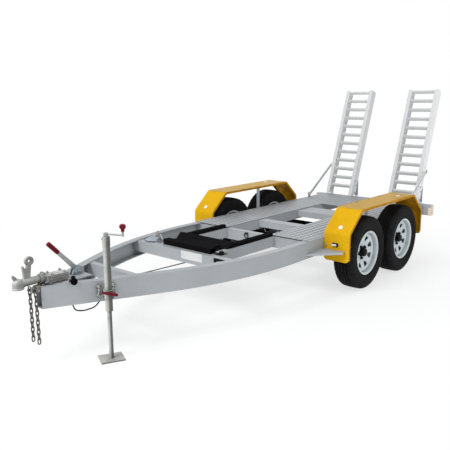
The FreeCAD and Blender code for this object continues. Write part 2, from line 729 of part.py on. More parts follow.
collar_bore = rod("JackCollarBore", "z", (jack_x, jack_y, collar_low), s.spigot_radius * 3,
                  s.jack_radius + s.leg_clearance)
node("jack_collar", remove("jack_collar", join("CollarSolid", collar, disc), collar_bore))
pull_half = s.pull_length / 2 * cosine(s.pull_tilt)
pull_lift = s.pull_length / 2 * sine(s.pull_tilt)
pull = sheet_metal("jack_pull_bar", "XZ_Plane", 0, [
    (-pull_half, -pull_lift - s.pull_radius), (pull_half, pull_lift - s.pull_radius),
    (pull_half, pull_lift + s.pull_radius), (-pull_half, -pull_lift + s.pull_radius),
], s.pull_radius * 2, middle=True)
pull_reach = collar_radius + s.pull_radius + s.leg_clearance
node("jack_pull_bar", along_rail(pull, jack_x + pull_reach * drawbar_sine,
                                 jack_y + pull_reach * drawbar_cosine, collar_low + s.spigot_radius * 2))

# Mudguards: one folded strip on each side, with a strut to the rail and a step ahead of it.
guard_angle = turn_of(s.guard_top - s.guard_bend, s.guard_flap - s.guard_knee)
guard_sine = sine(guard_angle)
guard_cosine = cosine(guard_angle)
flap_tangent = s.guard_bend_radius * tangent((90 - guard_angle) / 2)
knee_tangent = s.guard_bend_radius * tangent(guard_angle / 2)


def guard_half(inset):
    """Front half of the strip's outline from the flap's foot to the flat top."""
    return [
        (s.guard_flap - inset, s.guard_bottom),
        (s.guard_flap - inset, s.guard_bend - flap_tangent),
        (s.guard_flap - flap_tangent * guard_cosine - inset * guard_sine,
         s.guard_bend + flap_tangent * guard_sine - inset * guard_cosine),
        (s.guard_knee + knee_tangent * guard_cosine - inset * guard_sine,
         s.guard_top - knee_tangent * guard_sine - inset * guard_cosine),
        (s.guard_knee - knee_tangent, s.guard_top - inset),
    ]


def guard_line(inset, radius):
    """Whole strip from the front flap over the wheels, with the radius of each bend."""
    half = guard_half(inset)
    bends = {1: radius, 3: radius}
    line = [corner + (bends[index],) if index in bends else corner for index, corner in enumerate(half)]
    back = [(-x, z) for x, z in reversed(half)]
    line += [corner + (radius,) if index in (0, 2) else corner for index, corner in enumerate(back)]
    return [(along(corner[0]),) + tuple(corner[1:]) for corner in line]


outer_line = guard_line(0, s.guard_bend_radius)


def inset_line(inset):
    """The strip's inner outline, run from the back to the front."""
    points = [(corner[0], corner[1]) for corner in guard_line(inset, 1)]
    return [corner + (inset - s.guard_bend_radius,) if index in (1, 3, 5, 7) else corner
            for index, corner in enumerate(reversed(points))]


guard = body("mudguard_left")
strip = outline_on(guard, "GuardStrip", "XZ_Plane", -s.guard_inner, outer_line + inset_line(s.guard_sheet))
pad(guard, strip, s.guard_outer - s.guard_inner, back=True)
LIPS = (("Inner", s.guard_inner), ("Outer", s.guard_outer - s.guard_sheet))
for name, low in LIPS:
    lip_sketch = outline_on(guard, f"GuardLip{name}", "XZ_Plane", -low, outer_line + inset_line(s.guard_lip))
    guard_pad = pad(guard, lip_sketch, s.guard_sheet, back=True)
doc.recompute()
foot_level = float(s.guard_bottom)
corners = [f"Edge{index}" for index, edge in enumerate(guard_pad.Shape.Edges, start=1)
           if all(abs(vertex.Z - foot_level) < 0.01 for vertex in edge.Vertexes)
           and abs(edge.Length - float(s.guard_lip)) < 0.01]
rounding = guard.newObject("PartDesign::Fillet", "GuardCorners")
rounding.Base = (guard_pad, corners)
bind(rounding, "Radius", s.guard_corner)
node("mudguard_left", guard)
mirrored_node("mudguard_right", guard)

strut = block("GuardStrut", (along(-s.strut_width / 2), along(s.strut_width / 2)),
              (s.rail_outer, s.rail_outer + s.strut_thick),
              (s.rail_bottom + s.step_height, s.guard_top - s.guard_lip))
step_front = s.guard_flap + s.step_run
step_foot = s.guard_flap
step_side = s.rail_outer + s.step_width
step = body("GuardStep")
pad(step, outline_on(step, "StepPlate", "XY_Plane", s.step_level, [
    (along(step_front), s.rail_outer), (along(step_foot + s.step_height), step_side),
    (along(step_foot), step_side), (along(step_foot), s.rail_outer),
]), s.guard_sheet)
pad(step, outline_on(step, "StepLip", "XY_Plane", s.step_level + s.guard_sheet, [
    (along(step_front), s.rail_outer), (along(step_foot + s.step_height), step_side),
    (along(step_foot + s.step_height - s.guard_sheet), step_side),
    (along(step_front - s.guard_sheet * 2), s.rail_outer),
]), s.step_lip, back=True)
supports = group("guard_supports_left", strut, step)
node("guard_supports_left", supports)
mirrored_node("guard_supports_right", supports)

# Suspension: two leaf packs under the axles of each side, on hangers below the rail.
spring_top = wheel_z - s.axle_square / 2 - s.spring_seat
spring_radius = (s.spring_half * s.spring_half + s.spring_rise * s.spring_rise) / (s.spring_rise * 2)
spring_low = s.spring_side - s.spring_width / 2
eye_z = spring_top + s.spring_rise - s.spring_thick / 2


def leaf_pack(name, x):
    owner = body(name)
    bottom = spring_top - s.spring_thick
    pad(owner, outline_on(owner, name + "Arc", "XZ_Plane", -spring_low, [
        (along(x - s.spring_half), bottom + s.spring_rise, spring_radius),
        (along(x + s.spring_half), bottom + s.spring_rise),
        (along(x + s.spring_half), spring_top + s.spring_rise, -spring_radius),
        (along(x - s.spring_half), spring_top + s.spring_rise),
    ]), s.spring_width, back=True)
    return owner


suspension_parts = [leaf_pack(f"Leaf{name}", x) for name, x in AXLES]
front_hanger = s.axle_spacing / 2 + s.spring_half
rocker = s.axle_spacing / 2 - s.spring_half
for name, x, half in (("Front", front_hanger, s.hanger_length / 2),
                      ("Centre", 0, rocker + s.hanger_length / 2),
                      ("Rear", -front_hanger, s.hanger_length / 2)):
    low = spring_low - s.hanger_wall
    for edge, y in (("In", low), ("Out", spring_low + s.spring_width)):
        suspension_parts.append(block(f"Hanger{name}{edge}", (along(x - half), along(x + half)),
                                      (y, y + s.hanger_wall),
                                      (eye_z - s.spring_pin_radius * 2, s.rail_bottom)))
for name, x in (("Front", front_hanger), ("CentreFront", rocker), ("CentreRear", -rocker),
                ("Rear", -front_hanger)):
    suspension_parts.append(rod(f"SpringPin{name}", "y", (along(x), spring_low - s.hanger_wall, eye_z),
                                s.spring_width + s.hanger_wall * 2, s.spring_pin_radius))
suspension = join("suspension_left", *suspension_parts)
node("suspension_left", suspension)
mirrored_node("suspension_right", suspension)

# Coupling: head plate over the rails, housing, shaft and cast head with its handle.
plate_top = rail_top + s.head_plate
ball_height = plate_top + s.ball_rise
chain_pin_z = rail_top - s.chain_pin_drop
plate_rear = s.housing_rear - s.head_plate
plate_side = rail_face(plate_rear)
head_plate = sheet_metal("HeadPlate", "XY_Plane", rail_top, [
    (along(s.rail_front), s.nose_half), (along(plate_rear), plate_side),
    (along(plate_rear), s.tongue_half), (along(s.tongue_rear), s.tongue_half),
    (along(s.tongue_rear), -s.tongue_half), (along(plate_rear), -s.tongue_half),
    (along(plate_rear), -plate_side), (along(s.rail_front), -s.nose_half),
], s.head_plate)
sector_rear = s.lever_x - s.lever_width
sector = sheet_metal("LeverSector", "XZ_Plane", -s.lever_side - s.lever_thick / 2, [
    (along(sector_rear), plate_top), (along(s.lever_x + s.sector_radius), plate_top, s.sector_radius),
    (along(s.lever_x), plate_top + s.sector_radius), (along(sector_rear), plate_top + s.lever_width),
], s.lever_thick / 2, back=True)
lug_half = s.chain_lug_thick / 2
lug_front = s.chain_x + s.chain_pin_radius * 2
bush_y = rail_face(s.bush_x - s.bush_radius) + s.bush_gap
bush_bracket = block("BushBracket",
                     (along(s.bush_x - s.bush_pin_radius * 2), along(s.bush_x + s.bush_pin_radius * 2)),
                     (bush_y - s.bush_pin_length - s.head_plate, bush_y - s.bush_pin_length),
                     (plate_top, plate_top + s.bush_rise + s.bush_pin_radius * 2))
chain_lug = block("ChainLug", (along(s.rail_front), along(lug_front)), (-lug_half, lug_half),
                  (chain_pin_z - s.chain_pin_radius * 2, plate_top))
chain_pin = rod("ChainPin", "y", (along(s.chain_x), -s.chain_side - s.chain_wire * 1.5, chain_pin_z),
                (s.chain_side + s.chain_wire * 1.5) * 2, s.chain_pin_radius)
node("drawbar_plate", join("drawbar_plate", head_plate, sector, bush_bracket, chain_lug, chain_pin))
housing = block("Housing", (along(s.housing_rear), along(s.housing_front)),
                (-s.housing_half, s.housing_half), (plate_top, plate_top + s.housing_height))
boss_end = s.housing_front + s.boss_length
shaft = doc.addObject("Part::Cone", "CouplingNeck")
shaft.Placement.Rotation = FreeCAD.Rotation(*TURN_TO["x"])
bind(shaft, "Radius1", s.shaft_radius)
bind(shaft, "Radius2", s.neck_radius)
bind(shaft, "Height", s.ball_x - boss_end - s.head_radius / 2)
at(shaft, along(boss_end), 0, ball_height)
boss = rod("CouplingBoss", "x", (along(s.housing_front), 0, ball_height), s.boss_length,
           s.shaft_radius + s.head_plate)
node("coupling_housing", join("coupling_housing", housing, boss))
dome = doc.addObject("Part::Sphere", "HeadDome")
bind(dome, "Radius", s.head_radius)
at(dome, along(s.ball_x), 0, ball_height)
skirt = rod("HeadSkirt", "z", (along(s.ball_x), 0, ball_height - s.head_radius), s.head_radius,
            s.head_radius)
lip = rod("HeadLip", "z", (along(s.ball_x), 0, ball_height - s.head_radius), s.head_lip * 2,
          s.head_radius + s.head_lip)
trigger = sheet_metal("HeadTrigger", "XZ_Plane", 0, [
    (along(s.ball_x - s.head_radius * 0.5), ball_height + s.head_radius * 0.5),
    (along(s.ball_x + s.head_radius * 0.6), ball_height + s.head_radius * 0.5),
    (along(nose_reach), ball_height + s.trigger_rise - s.trigger_thick),
    (along(nose_reach - s.head_lip), ball_height + s.trigger_rise),
    (along(nose_reach - s.trigger_thick), ball_height + s.trigger_rise - s.head_lip),
], s.trigger_thick, middle=True)
handle = body("HeadHandle")
handle_top = plate_top + s.handle_rise
pad(handle, outline_on(handle, "HandleStem", "XZ_Plane", 0, [
    (along(s.handle_foot - s.handle_foot_half), ball_height),
    (along(s.handle_foot + s.handle_foot_half), ball_height),
    (along(s.handle_foot + s.handle_foot_half * 0.7), plate_top + s.spur_rise - s.handle_thick),
    (along(s.handle_x + s.spur_run), plate_top + s.spur_rise + s.handle_thick * 2),
    (along(s.handle_x + s.spur_run - s.head_lip * 2), plate_top + s.spur_rise + s.handle_thick * 2),
    (along(s.handle_x + s.handle_foot_half * 1.1), plate_top + s.spur_rise + s.handle_thick / 2),
    (along(s.handle_x + s.handle_top_half), handle_top), (along(s.handle_x - s.handle_top_half), handle_top),
]), s.handle_thick, middle=True)
pad(handle, outline_on(handle, "HandleRing", "XZ_Plane", 0,
                       rings=((along(s.handle_x), handle_top, s.handle_ring),)), s.handle_thick,
    middle=True)
hole = outline_on(handle, "HandleHole", "XZ_Plane", -s.handle_thick,
                  rings=((along(s.handle_x), handle_top, s.handle_hole),))
pocket(handle, hole, s.handle_thick * 2, back=True)
solid_head = join("HeadSolid", dome, skirt, lip, trigger, shaft, handle)
socket_bore = rod("SocketBore", "z", (along(s.ball_x), 0, ball_height - s.head_radius), s.head_radius,
                  s.ball_radius + s.ball_fit)
socket_dome = doc.addObject("Part::Sphere", "SocketDome")
bind(socket_dome, "Radius", s.ball_radius + s.ball_fit)
at(socket_dome, along(s.ball_x), 0, ball_height)
node("coupling_head", remove("coupling_head", solid_head, join("Socket", socket_bore, socket_dome)))

# Brake lever beside the housing, with its sector plate, grip and rod.
lever_length = root(s.lever_run * s.lever_run + s.lever_rise * s.lever_rise)
lever_turn = turn_of(s.lever_run, s.lever_rise)
lever_foot = plate_top + s.lever_width / 2
lever = body("brake_lever")
half = s.lever_width / 2
pad(lever, outline_on(lever, "LeverBar", "XZ_Plane", 0, [
    (half, 0), (half * 0.6, lever_length), (-half * 0.6, lever_length), (-half, 0, half),
]), s.lever_thick, middle=True)
turned(lever, Vector(0, 1, 0), lever_turn)
lever_x = along(s.lever_x)
at(lever, lever_x, s.lever_side, lever_foot)
node("brake_lever", lever)
grip_start = (lever_length - s.grip_length) / lever_length
grip_outer = rod("GripOuter", "z", (0, 0, 0), s.grip_length, s.grip_radius)
turned(grip_outer, Vector(0, 1, 0), lever_turn)
at(grip_outer, lever_x + s.lever_run * grip_start, s.lever_side, lever_foot + s.lever_rise * grip_start)
node("lever_grip", remove("lever_grip", grip_outer, lever))
bush_level = plate_top + s.bush_rise
bush_disc = rod("BushDisc", "y", (along(s.bush_x), bush_y, bush_level), s.bush_length, s.bush_radius)
bush_pin = rod("BushPin", "y", (along(s.bush_x), bush_y - s.bush_pin_length, bush_level),
               s.bush_pin_length + s.bush_length / 2, s.bush_pin_radius)
node("lever_bush", join("lever_bush", bush_disc, bush_pin))
rod_rear = s.axle_spacing / 2 + s.axle_square / 2 + s.stay_face
rod_run = s.head_cross - rod_rear
rod_fall = s.brake_rod_front - wheel_z
brake_rod = rod("brake_rod", "x", (along(rod_rear), 0, wheel_z),
                root(rod_run * rod_run + rod_fall * rod_fall), s.brake_rod_radius)
turned(brake_rod, Vector(0, 1, 0), 90 - turn_of(rod_fall, rod_run))
at(brake_rod, along(rod_rear), s.lever_side, wheel_z)
node("brake_rod", brake_rod)


# Safety chains: closed links of five-sided wire, each turned a quarter from the last.
WIRE_SIDES = 5


def chain_link(centre, across, wire):
    """One link: eight straight runs round a closed loop in the plane of Z and the across line."""
    normal = Vector(0, 0, 1).cross(across)
    half_width = float(s.chain_width) / 2 - wire
    half_height = float(s.chain_pitch) / 2 + wire
    shoulder = half_width * 0.55
    loop = []
    for a, b in ((half_width, half_height - shoulder), (shoulder, half_height)):
        loop.append((a, b))
    loop += [(-a, b) for a, b in reversed(loop)]
    loop += [(a, -b) for a, b in reversed(loop)]
    rings = []
    for index, (a, b) in enumerate(loop):
        before = loop[index - 1]
        after = loop[(index + 1) % len(loop)]
        way_in = Vector(a - before[0], b - before[1], 0).normalize()
        way_out = Vector(after[0] - a, after[1] - b, 0).normalize()
        mitre = (Vector(way_in.y, -way_in.x, 0) + Vector(way_out.y, -way_out.x, 0)).normalize()
        stretch = 1 / mitre.dot(Vector(way_in.y, -way_in.x, 0))
        section = []
        for step in range(WIRE_SIDES):
            turn = math.pi + 2 * math.pi * step / WIRE_SIDES
            out = mitre * (wire * math.cos(turn) * stretch)
            section.append(centre + across * (a + out.x) + Vector(0, 0, 1) * (b + out.y)
                           + normal * (wire * math.sin(turn)))
        rings.append(section)
    faces = []
    for index, section in enumerate(rings):
        other = rings[(index + 1) % len(rings)]
        for step in range(WIRE_SIDES):
            after = (step + 1) % WIRE_SIDES
            faces.append(Part.Face(Part.makePolygon([section[step], section[after], other[after],
                                                     other[step], section[step]])))
    solid = Part.Solid(Part.Shell(faces))
    if solid.Volume < 0:
        solid.reverse()
    return solid


def chain(label, side):
    wire = float(s.chain_wire) / 2
    step = float(s.chain_pitch - s.chain_play)
    top = float(chain_pin_z + s.chain_pin_radius + s.chain_play - s.chain_pitch / 2)
    links = []
    for index in range(int(SIZES["chain_links"])):
        across = Vector(1, 0, 0) if index % 2 == 0 else Vector(0, 1, 0)
        centre = Vector(float(along(s.chain_x)), float(s.chain_side) * side, top - step * index)
        links.append(chain_link(centre, across, wire))
    item = doc.addObject("Part::Feature", label)
    item.Shape = Part.makeCompound(links)
    return item


node("chain_left", chain("chain_left", 1))
node("chain_right", chain("chain_right", -1))

# Brake hose: straight runs joined by tangent arcs, hung below the left rail's foot.
# Each corner is a distance back from the hose's front end and a drop below the rail.
HOSE_ROUTE = ((0, 1.5), (12, 46), (62, 58), (132, 43), (165, 3.2))
HOSE_SHARE = 0.45


def cord(label, route, radius):
    """Round cord along a route of corners, each one eased by an arc that fits the shorter run."""
    corners = [Vector(*corner) for corner in route]
    edges = []
    start = corners[0]
    for before, corner, after in zip(corners, corners[1:], corners[2:]):
        way_in = (corner - before).normalize()
        way_out = (after - corner).normalize()
        half_turn = way_in.getAngle(way_out) / 2
        reach = HOSE_SHARE * min((corner - before).Length, (after - corner).Length)
        bend = reach / math.tan(half_turn)
        arc_start = corner - way_in * reach
        arc_end = corner + way_out * reach
        inward = (way_out - way_in).normalize()
        middle = corner + inward * (bend / math.cos(half_turn) - bend)
        edges.append(Part.makeLine(start, arc_start))
        edges.append(Part.Arc(arc_start, middle, arc_end).toShape())
        start = arc_end
        print(label, "bend radius", round(bend, 1))
    edges.append(Part.makeLine(start, corners[-1]))
    path = Part.Wire(edges)
    first = corners[1] - corners[0]
    section = Part.Wire(Part.makeCircle(radius, corners[0], first))
    item = doc.addObject("Part::Feature", label)
    item.Shape = path.makePipeShell([section], True, False)
    print(label, "volume over section times length",
          round(item.Shape.Volume / (math.pi * radius * radius * path.Length), 4), "length", path.Length)
    return item


hose_corners = []
for back, drop in HOSE_ROUTE:
    x = s.hose_front - back
    hose_corners.append((float(along(x)), float(rail_face(x) - s.hose_inset), float(s.rail_bottom - drop)))
node("brake_hose", cord("brake_hose", hose_corners, float(s.hose_radius)))

# Ramps: two channel stringers, angle rungs and hinge ears, made about the hinge pin.
ramp_back = s.ramp_face - s.ramp_depth
heel_level = deck_top + s.ramp_heel_gap - s.ramp_pin_z


def heel(x):
    """Level cut of the stringer's foot, seen along the ramp."""
    return (heel_level - x * lean_sine) / lean_cosine


def on_hinge(item):
    turned(item, Vector(0, -1, 0), s.ramp_angle)
    return at(item, along(s.ramp_pin_x), 0, s.ramp_pin_z)


ramp_bore = s.pin_radius + s.pin_clearance
stringers = []
for name, web_y, flange_y in (("Outer", s.ramp_outer, s.ramp_outer - s.ramp_stringer),
                              ("Inner", s.ramp_inner, s.ramp_inner + s.ramp_stringer)):
    inward = -1 if name == "Outer" else 1
    skin = web_y + s.ramp_wall * inward
    stringer = body(f"Stringer{name}")
    channel = outline_on(stringer, f"Channel{name}", "XY_Plane", 0, [
        (s.ramp_face, flange_y), (s.ramp_face, web_y), (ramp_back, web_y), (ramp_back, flange_y),
        (ramp_back + s.ramp_wall, flange_y), (ramp_back + s.ramp_wall, skin),
        (s.ramp_face - s.ramp_wall, skin), (s.ramp_face - s.ramp_wall, flange_y),
    ])
    pad(stringer, channel, s.ramp_length)
    level = -s.ramp_outer - s.ear_thick if name == "Outer" else -s.ramp_inner - s.ramp_stringer
    pocket(stringer, outline_on(stringer, f"Heel{name}", "XZ_Plane", level, [
        (s.ramp_face + s.ramp_wall, -s.ramp_wall),
        (s.ramp_face + s.ramp_wall, heel(s.ramp_face + s.ramp_wall)),
        (ramp_back - s.ramp_wall, heel(ramp_back - s.ramp_wall)), (ramp_back - s.ramp_wall, -s.ramp_wall),
    ]), s.ramp_stringer + s.ear_thick * 2, back=True)
    ear_low = s.ramp_outer - s.ear_thick if name == "Outer" else s.ramp_inner
    ear = outline_on(stringer, f"Ear{name}", "XZ_Plane", -ear_low, [
        (-s.ear_radius, 0, s.ear_radius), (s.ear_radius, 0), (s.ear_radius * 1.8, s.ear_radius * 2.1),
        (s.ear_foot, s.ear_radius * 2.25), (s.ear_foot, s.ear_height - s.ear_foot),
        (ramp_back, s.ear_height), (ramp_back - s.ear_thick, s.ear_height),
        (-s.ear_radius, s.ear_radius * 3),
    ], rings=((0, 0, ramp_bore),))
    pad(stringer, ear, s.ear_thick, back=True)
    if name == "Outer":
        for radius, reach in ((s.stay_pin_radius * 1.8, s.stay_gap - s.stay_face),
                              (s.stay_pin_radius, s.stay_gap + s.stay_thick + s.stay_pin_radius)):
            boss_sketch = outline_on(stringer, f"StayPin{round(float(reach))}", "XZ_Plane", -s.ramp_outer,
                                     rings=((s.stay_pin_depth, s.stay_up, radius),))
            pad(stringer, boss_sketch, reach, back=True)
    stringers.append(on_hinge(stringer))
ramp_stringers = group("ramp_stringers_left", *stringers)
node("ramp_stringers_left", ramp_stringers)
mirrored_node("ramp_stringers_right", ramp_stringers)

rung_span = s.ramp_outer - s.ramp_inner - s.ramp_stringer * 2
rung_half = s.rung_leg / root(2)
wall_step = s.rung_wall * root(2)
rung = body("Rung")
rung_sketch = outline_on(rung, "RungSection", "XZ_Plane", -s.ramp_inner - s.ramp_stringer, [
    (s.ramp_face, s.rung_first), (s.ramp_face - rung_half, s.rung_first + rung_half),
    (s.ramp_face - rung_half - wall_step / 2, s.rung_first + rung_half - wall_step / 2),
    (s.ramp_face - wall_step, s.rung_first),
    (s.ramp_face - rung_half - wall_step / 2, s.rung_first - rung_half + wall_step / 2),
    (s.ramp_face - rung_half, s.rung_first - rung_half),
])
pad(rung, rung_sketch, rung_span, back=True)
on_hinge(rung)
rungs = []
rung_pitch = (s.ramp_length - s.rung_first - s.rung_end) / (s.rung_count - 1)
for index in range(int(SIZES["rung_count"])):
    copy = doc.addObject("Part::Compound", f"Rung{index}")
    copy.Links = [rung]
    shift = rung_pitch * index
    at(copy, -shift * lean_sine, 0, shift * lean_cosine)
    rungs.append(copy)
ramp_rungs = group("ramp_rungs_left", *rungs)
node("ramp_rungs_left", ramp_rungs)
mirrored_node("ramp_rungs_right", ramp_rungs)

# Stays that hold the ramps up, pinned to the outer stringers.
pin_x = s.ramp_pin_x + s.stay_pin_depth * lean_cosine - s.stay_up * lean_sine
pin_z = s.ramp_pin_z + s.stay_pin_depth * lean_sine + s.stay_up * lean_cosine
stay_run = s.stay_x - pin_x
stay_fall = pin_z - s.stay_z
stay_length = root(stay_run * stay_run + stay_fall * stay_fall)
half = s.stay_width / 2
stay_bore = s.stay_pin_radius + s.pin_clearance
stay = body("ramp_stay_left")
pad(stay, outline_on(stay, "StayBar", "XZ_Plane", -s.ramp_outer - s.stay_gap, [
    (0, -half), (stay_length, -half, half), (stay_length, half), (0, half, half),
], rings=((0, 0, stay_bore), (stay_length, 0, stay_bore))), s.stay_thick, back=True)
turned(stay, Vector(0, 1, 0), turn_of(stay_fall, stay_run))
at(stay, along(pin_x), 0, pin_z)
node("ramp_stay_left", stay)
mirrored_node("ramp_stay_right", stay)

# Hinge lugs behind the bumper and the keepers that the stays stand beside.
bumper_rear = -s.deck_rear - s.rear_cross_depth
lug_radius = s.ear_radius * 0.9
hinge_parts = []
for name, ear_low in (("Outer", s.ramp_outer - s.ear_thick), ("Inner", s.ramp_inner)):
    spans = ((ear_low - s.lug_gap - s.ear_thick, "In"), (ear_low + s.ear_thick + s.lug_gap, "Out"))
    for low, edge in spans:
        hinge_parts.append(sheet_metal(f"Lug{name}{edge}", "XZ_Plane", -low, [
            (along(bumper_rear), s.ramp_pin_z - lug_radius * 1.6),
            (along(bumper_rear), s.ramp_pin_z + lug_radius * 1.6),
            (along(s.ramp_pin_x), s.ramp_pin_z + lug_radius, lug_radius),
            (along(s.ramp_pin_x), s.ramp_pin_z - lug_radius),
        ], s.ear_thick, back=True))
    hinge_parts.append(rod(f"HingePin{name}", "y", (along(s.ramp_pin_x), spans[0][0], s.ramp_pin_z),
                           s.ear_thick * 3 + s.lug_gap * 2, s.pin_radius))
hinge_left = join("HingeLeft", *hinge_parts)
keeper_low = s.ramp_outer + s.stay_gap + s.stay_thick + s.keeper_gap
keeper = sheet_metal("StayKeeper", "XZ_Plane", -keeper_low, [
    (along(s.stay_x - half), deck_top), (along(s.stay_x + half), deck_top),
    (along(s.stay_x + half), s.stay_z, half), (along(s.stay_x - half), s.stay_z),
], s.stay_thick, rings=((along(s.stay_x), s.stay_z, stay_bore),), back=True)
lugs = group("ramp_lugs_left", hinge_left, keeper)
node("ramp_lugs_left", lugs)
mirrored_node("ramp_lugs_right", lugs)

# Lamps and the blank plate.
lamp_outer = s.rear_cross_half - s.ear_thick
lamp = block("TailLamp", (along(bumper_rear - s.lamp_depth), along(bumper_rear)),
             (lamp_outer - s.lamp_width, lamp_outer),
             (rear_cross_bottom + s.ear_thick * 2, rear_cross_bottom + s.ear_thick * 2 + s.lamp_height))
node("tail_lamps", group("tail_lamps", lamp, mirrored("TailLampRight", lamp)))
marker = block("Marker", (along(s.guard_flap), along(s.guard_flap + s.marker_depth)),
               (s.marker_side - s.marker_width / 2, s.marker_side + s.marker_width / 2),
               (s.marker_level, s.marker_level + s.marker_height))
node("marker_lamps", group("marker_lamps", marker, mirrored("MarkerRight", marker)))
node("blank_plate", block("blank_plate", (along(s.front_cross), along(s.front_cross + s.plate_thick)),
                          (s.plate_side - s.plate_width / 2, s.plate_side + s.plate_width / 2),
                          (s.plate_level - s.plate_height / 2, s.plate_level + s.plate_height / 2)))

doc.recompute()

failed = [item.Name for item in doc.Objects if "Invalid" in item.State or "Error" in item.State]
for label, item in nodes.items():
    if item.Shape.isNull() or not item.Shape.isValid() or not item.Shape.Solids:
        failed.append(label)
if failed:
    raise RuntimeError("These pieces did not build: " + ", ".join(failed))

os.makedirs("parts", exist_ok=True)
for label, item in nodes.items():
    item.Shape.exportStep(f"parts/{label}.step")
print(len(nodes), "nodes written")
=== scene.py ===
import bpy
import bmesh
import json
from math import asin, cos, degrees, pi, radians, sin, tau
from mathutils import Matrix, Vector


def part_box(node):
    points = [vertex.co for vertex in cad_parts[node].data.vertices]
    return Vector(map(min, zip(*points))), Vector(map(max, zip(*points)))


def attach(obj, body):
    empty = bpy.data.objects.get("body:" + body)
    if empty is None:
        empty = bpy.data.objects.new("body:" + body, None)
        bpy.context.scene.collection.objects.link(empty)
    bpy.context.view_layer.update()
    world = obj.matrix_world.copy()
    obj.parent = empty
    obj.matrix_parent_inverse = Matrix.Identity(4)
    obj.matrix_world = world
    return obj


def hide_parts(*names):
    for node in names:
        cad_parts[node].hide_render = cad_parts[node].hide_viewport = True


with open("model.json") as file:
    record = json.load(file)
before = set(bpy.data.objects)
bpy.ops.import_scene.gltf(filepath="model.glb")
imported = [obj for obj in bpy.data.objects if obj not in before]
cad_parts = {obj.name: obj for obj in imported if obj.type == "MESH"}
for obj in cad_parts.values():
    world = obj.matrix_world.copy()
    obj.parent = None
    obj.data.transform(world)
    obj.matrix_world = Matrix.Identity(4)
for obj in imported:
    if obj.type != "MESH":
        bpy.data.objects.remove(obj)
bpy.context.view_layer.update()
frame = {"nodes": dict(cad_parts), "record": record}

scene = bpy.context.scene
nodes = frame["nodes"]
MM = 0.001
X, Y, Z = Vector((1, 0, 0)), Vector((0, 1, 0)), Vector((0, 0, 1))
WAYS = (1, -1)
SIDES = (("left", 1), ("right", -1))  # The left is where y is positive.


def middle_of(box):
    low, high = box
    return (low + high) / 2


# The wheels' places, from the hubs: axles' midpoint in metres, height and half spacing in millimetres.
front_hub = middle_of(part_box("hub_front_left"))
rear_hub = middle_of(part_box("hub_rear_left"))
AXLES_X = (front_hub.x + rear_hub.x) / 2
WHEEL_Z = front_hub.z / MM
HALF_SPACING = (front_hub.x - rear_hub.x) / 2 / MM


def vec(x, y, z):
    """Step in metres, from millimetres."""
    return Vector((x, y, z)) * MM


def at(x, y, z):
    """Point in metres, from millimetres forward of the axles' midpoint, to the left and up."""
    return Vector((AXLES_X + x * MM, y * MM, z * MM))


# Camera: turned and placed as in the photograph
YAW, PITCH, ROLL = radians(220.613), radians(-12.02), radians(-0.18)
CAMERA_PLACE = at(5203, 3334, 1723)
FOCAL_PX, FRAME_PX, CENTRE_PX = 575.96, 450, (228.98, 225.95)
SENSOR_MM, FAR_CLIP_M = 36, 100
forward = Vector((cos(PITCH) * cos(YAW), cos(PITCH) * sin(YAW), sin(PITCH)))
level = forward.cross(Z).normalized()
upright = level.cross(forward)
right = level * cos(ROLL) + upright * sin(ROLL)
up = upright * cos(ROLL) - level * sin(ROLL)
camera_data = bpy.data.cameras.new("view")
camera_data.sensor_width = SENSOR_MM
camera_data.lens = FOCAL_PX * SENSOR_MM / FRAME_PX
camera_data.shift_x = -(CENTRE_PX[0] - FRAME_PX / 2) / FRAME_PX
camera_data.shift_y = (CENTRE_PX[1] - FRAME_PX / 2) / FRAME_PX
camera_data.clip_end = FAR_CLIP_M
camera = bpy.data.objects.new("view", camera_data)
camera.matrix_world = Matrix.Translation(CAMERA_PLACE) @ Matrix((right, up, -forward)).transposed().to_4x4()
scene.collection.objects.link(camera)
scene.camera = camera


# Materials
def tint(colour, share):
    return tuple(min(1.0, c * share) for c in colour)


class Graph:
    """A node tree, with short ways to add nodes to it that each give an output socket."""

    def __init__(self, tree):
        self.tree = tree

    def fill(self, item, inputs):
        """Links or sets a node's inputs, found by name or by number."""
        for key, value in inputs.items():
            socket = item.inputs[key]
            if isinstance(value, bpy.types.NodeSocket):
                self.tree.links.new(value, socket)
            elif socket.type == "RGBA":
                socket.default_value = (*value, 1)
            else:
                socket.default_value = value

    def node(self, kind, output, inputs=None, operation=None):
        item = self.tree.nodes.new("ShaderNode" + kind)
        if operation:
            item.operation = operation
        self.fill(item, inputs or {})
        return item.outputs[output]

    def calculate(self, operation, *values):
        return self.node("Math", 0, dict(enumerate(values)), operation)

    def vector_math(self, operation, output, first, second):
        return self.node("VectorMath", output, {0: first, 1: second}, operation)

    def mix_shaders(self, share, first, second):
        return self.node("MixShader", "Shader", {"Fac": share, 1: first, 2: second})

    def seen_directly(self):
        """One for the rays that show a thing as background: straight, mirrored or through glass."""
        path = self.tree.nodes.new("ShaderNodeLightPath").outputs
        both = self.calculate("MAXIMUM", path["Is Camera Ray"], path["Is Glossy Ray"])
        return self.calculate("MAXIMUM", both, path["Is Transmission Ray"])


